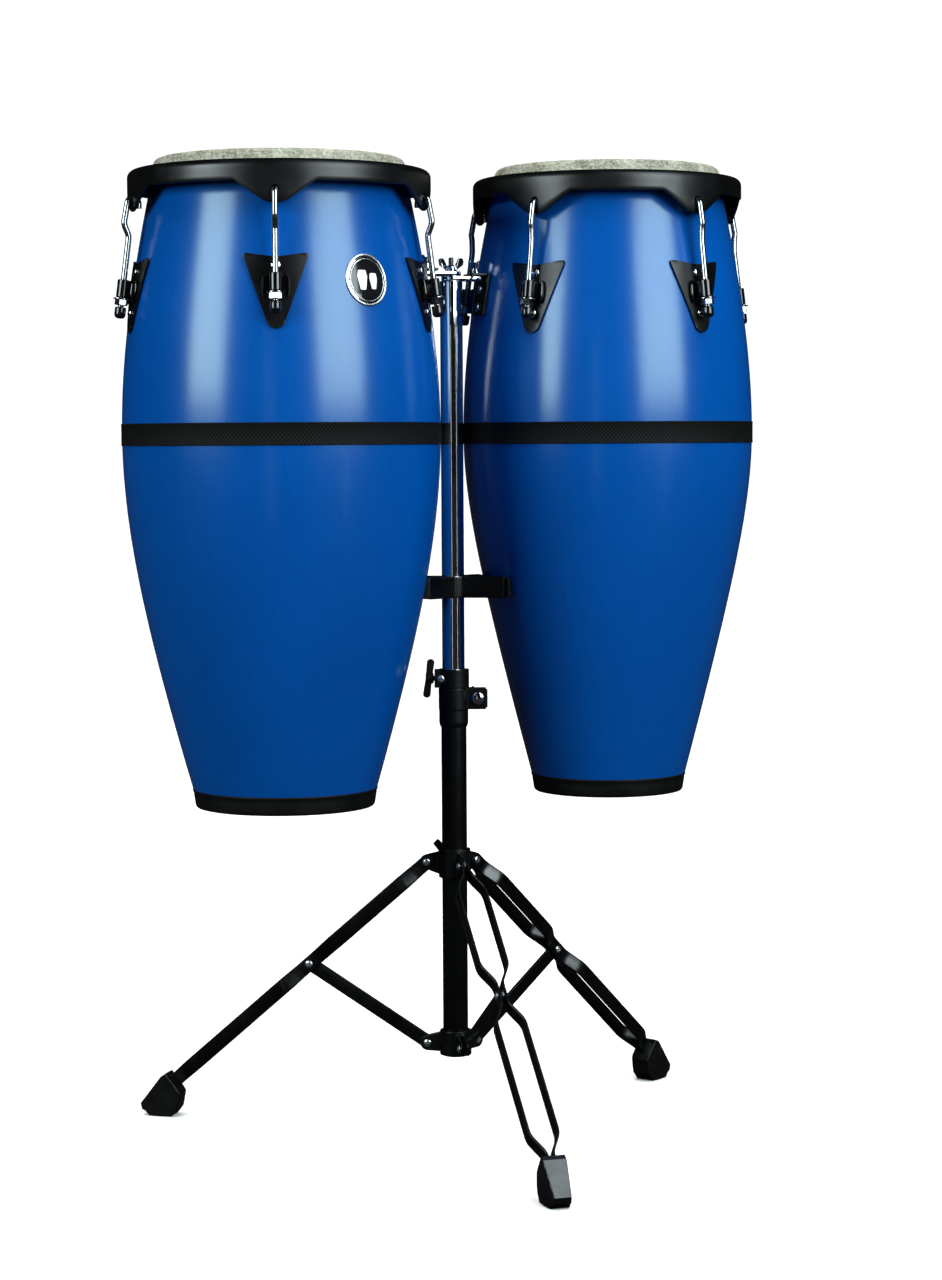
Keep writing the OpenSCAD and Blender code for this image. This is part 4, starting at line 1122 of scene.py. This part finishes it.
# ------------------------------------------------------------------ floor, light and camera
COOL = (0.84, 0.96, 1.0)
WHITE = (1, 1, 1, 1)
FLOOR_FELT = (0.012, 0.012, 0.012, 1)
FLOOR_SEEN = (1.0, 0.97, 0.96, 1)
ROOM_FELT = 0.007
ROOM_SEEN = 1.1


def lit(name, place, aim, width, height, power):
    """A soft box at a place, facing its aim; lengths in metres."""
    lamp = bpy.data.lights.new(name, "AREA")
    lamp.shape = "RECTANGLE"
    lamp.size, lamp.size_y = width, height
    lamp.energy = power
    lamp.color = COOL
    obj = bpy.data.objects.new(name, lamp)
    obj.location = place
    obj.rotation_euler = (Vector(aim) - Vector(place)).to_track_quat("-Z", "Y").to_euler()
    scene.collection.objects.link(obj)


def around(azimuth, distance, height):
    """A point seen from the stand's axis at a view azimuth, in metres."""
    a = math.radians(azimuth)
    return (math.sin(a) * distance + POLE.x * MM, -math.cos(a) * distance + POLE.y * MM, height)


def two_ways(tree, kinds, settings, out_socket):
    """Mixes two shaders: the first for light that the object gets, the second for what the camera sees."""
    felt, seen = (tree.nodes.new(kind) for kind in kinds)
    for node, values in zip((felt, seen), settings):
        for key, value in values.items():
            node.inputs[key].default_value = value
    mix = tree.nodes.new("ShaderNodeMixShader")
    path = tree.nodes.new("ShaderNodeLightPath")
    tree.links.new(path.outputs["Is Camera Ray"], mix.inputs["Fac"])
    tree.links.new(felt.outputs[0], mix.inputs[1])
    tree.links.new(seen.outputs[0], mix.inputs[2])
    tree.links.new(mix.outputs["Shader"], out_socket)


def far_light(name, energy, angle, lean):
    """A wide, even light from far off that no glossy surface mirrors."""
    sun = bpy.data.lights.new(name, "SUN")
    sun.energy = energy
    sun.angle = math.radians(angle)
    holder = bpy.data.objects.new(name, sun)
    holder.rotation_euler = lean
    holder.location.z = 4
    holder.visible_glossy = False
    scene.collection.objects.link(holder)


def make_stage():
    """A white floor and backdrop in a dim room, so that black and chrome stay as dark as in a studio."""
    paint = bpy.data.materials.new("studio_floor")
    paint.use_nodes = True
    tree = paint.node_tree
    tree.nodes.clear()
    out = tree.nodes.new("ShaderNodeOutputMaterial")
    two_ways(tree, ("ShaderNodeBsdfDiffuse",) * 2, ({"Color": FLOOR_FELT}, {"Color": FLOOR_SEEN}),
             out.inputs["Surface"])
    mesh = bpy.data.meshes.new("studio_floor")
    reach = 60
    corners = [(-reach, -reach, 0), (reach, -reach, 0), (reach, reach, 0), (-reach, reach, 0)]
    mesh.from_pydata(corners, [], [(0, 1, 2, 3)])
    mesh.materials.append(paint)
    floor = bpy.data.objects.new("studio_floor", mesh)
    floor.location.z = -0.0005
    scene.collection.objects.link(floor)

    world = bpy.data.worlds.new("studio")
    world.use_nodes = True
    scene.world = world
    tree = world.node_tree
    tree.nodes.clear()
    out = tree.nodes.new("ShaderNodeOutputWorld")
    two_ways(tree, ("ShaderNodeBackground",) * 2,
             ({"Color": WHITE, "Strength": ROOM_FELT}, {"Color": WHITE, "Strength": ROOM_SEEN}),
             out.inputs["Surface"])

    lit("left_box", around(-72, 3.2, 1.8), around(0, 0, 0.95), 1.5, 1.5, 76)
    lit("right_box", around(24, 3.2, 1.8), around(0, 0, 0.95), 2.1, 1.5, 92)
    lit("top_box", around(29, 1.9, 2.6), around(0, 0, 0.4), 1.3, 1.3, 30)
    for azimuth in (-28, 26):
        lit("edge_strip", around(azimuth, 3.2, 0.9), around(0, 0, 0.9), 0.05, 1.8, 0.9)
    far_light("sky_panel", 3.3, 60, (0, 0, 0))
    far_light("rear_fill", 1.3, 30, (math.radians(58), 0, math.radians(160)))
    scene.view_settings.view_transform = "Standard"


FOCAL_PX = 2893.3
FRAME_H = 1280
SENSOR = 36


def make_camera():
    """The fitted viewpoint: place from the stand's axis, direction, pitch and roll."""
    azimuth, pitch, roll = -20.06, 3.903, -0.33
    sideways, back, height = 20.0, 3262.2, 781.6
    place = turn(azimuth) @ Vector((sideways, -back, height))
    data = bpy.data.cameras.new("camera")
    data.sensor_fit = "VERTICAL"
    data.sensor_height = SENSOR
    data.lens = FOCAL_PX / FRAME_H * SENSOR
    data.clip_end = 100
    camera = bpy.data.objects.new("camera", data)
    camera.matrix_world = (Matrix.Translation((place + POLE) * MM) @ turn(azimuth) @ turn(90 - pitch, "X")
                           @ turn(roll))
    scene.collection.objects.link(camera)
    scene.camera = camera


make_stage()
make_camera()


def plain(box):
    return [[float(x) for x in corner] for corner in box]
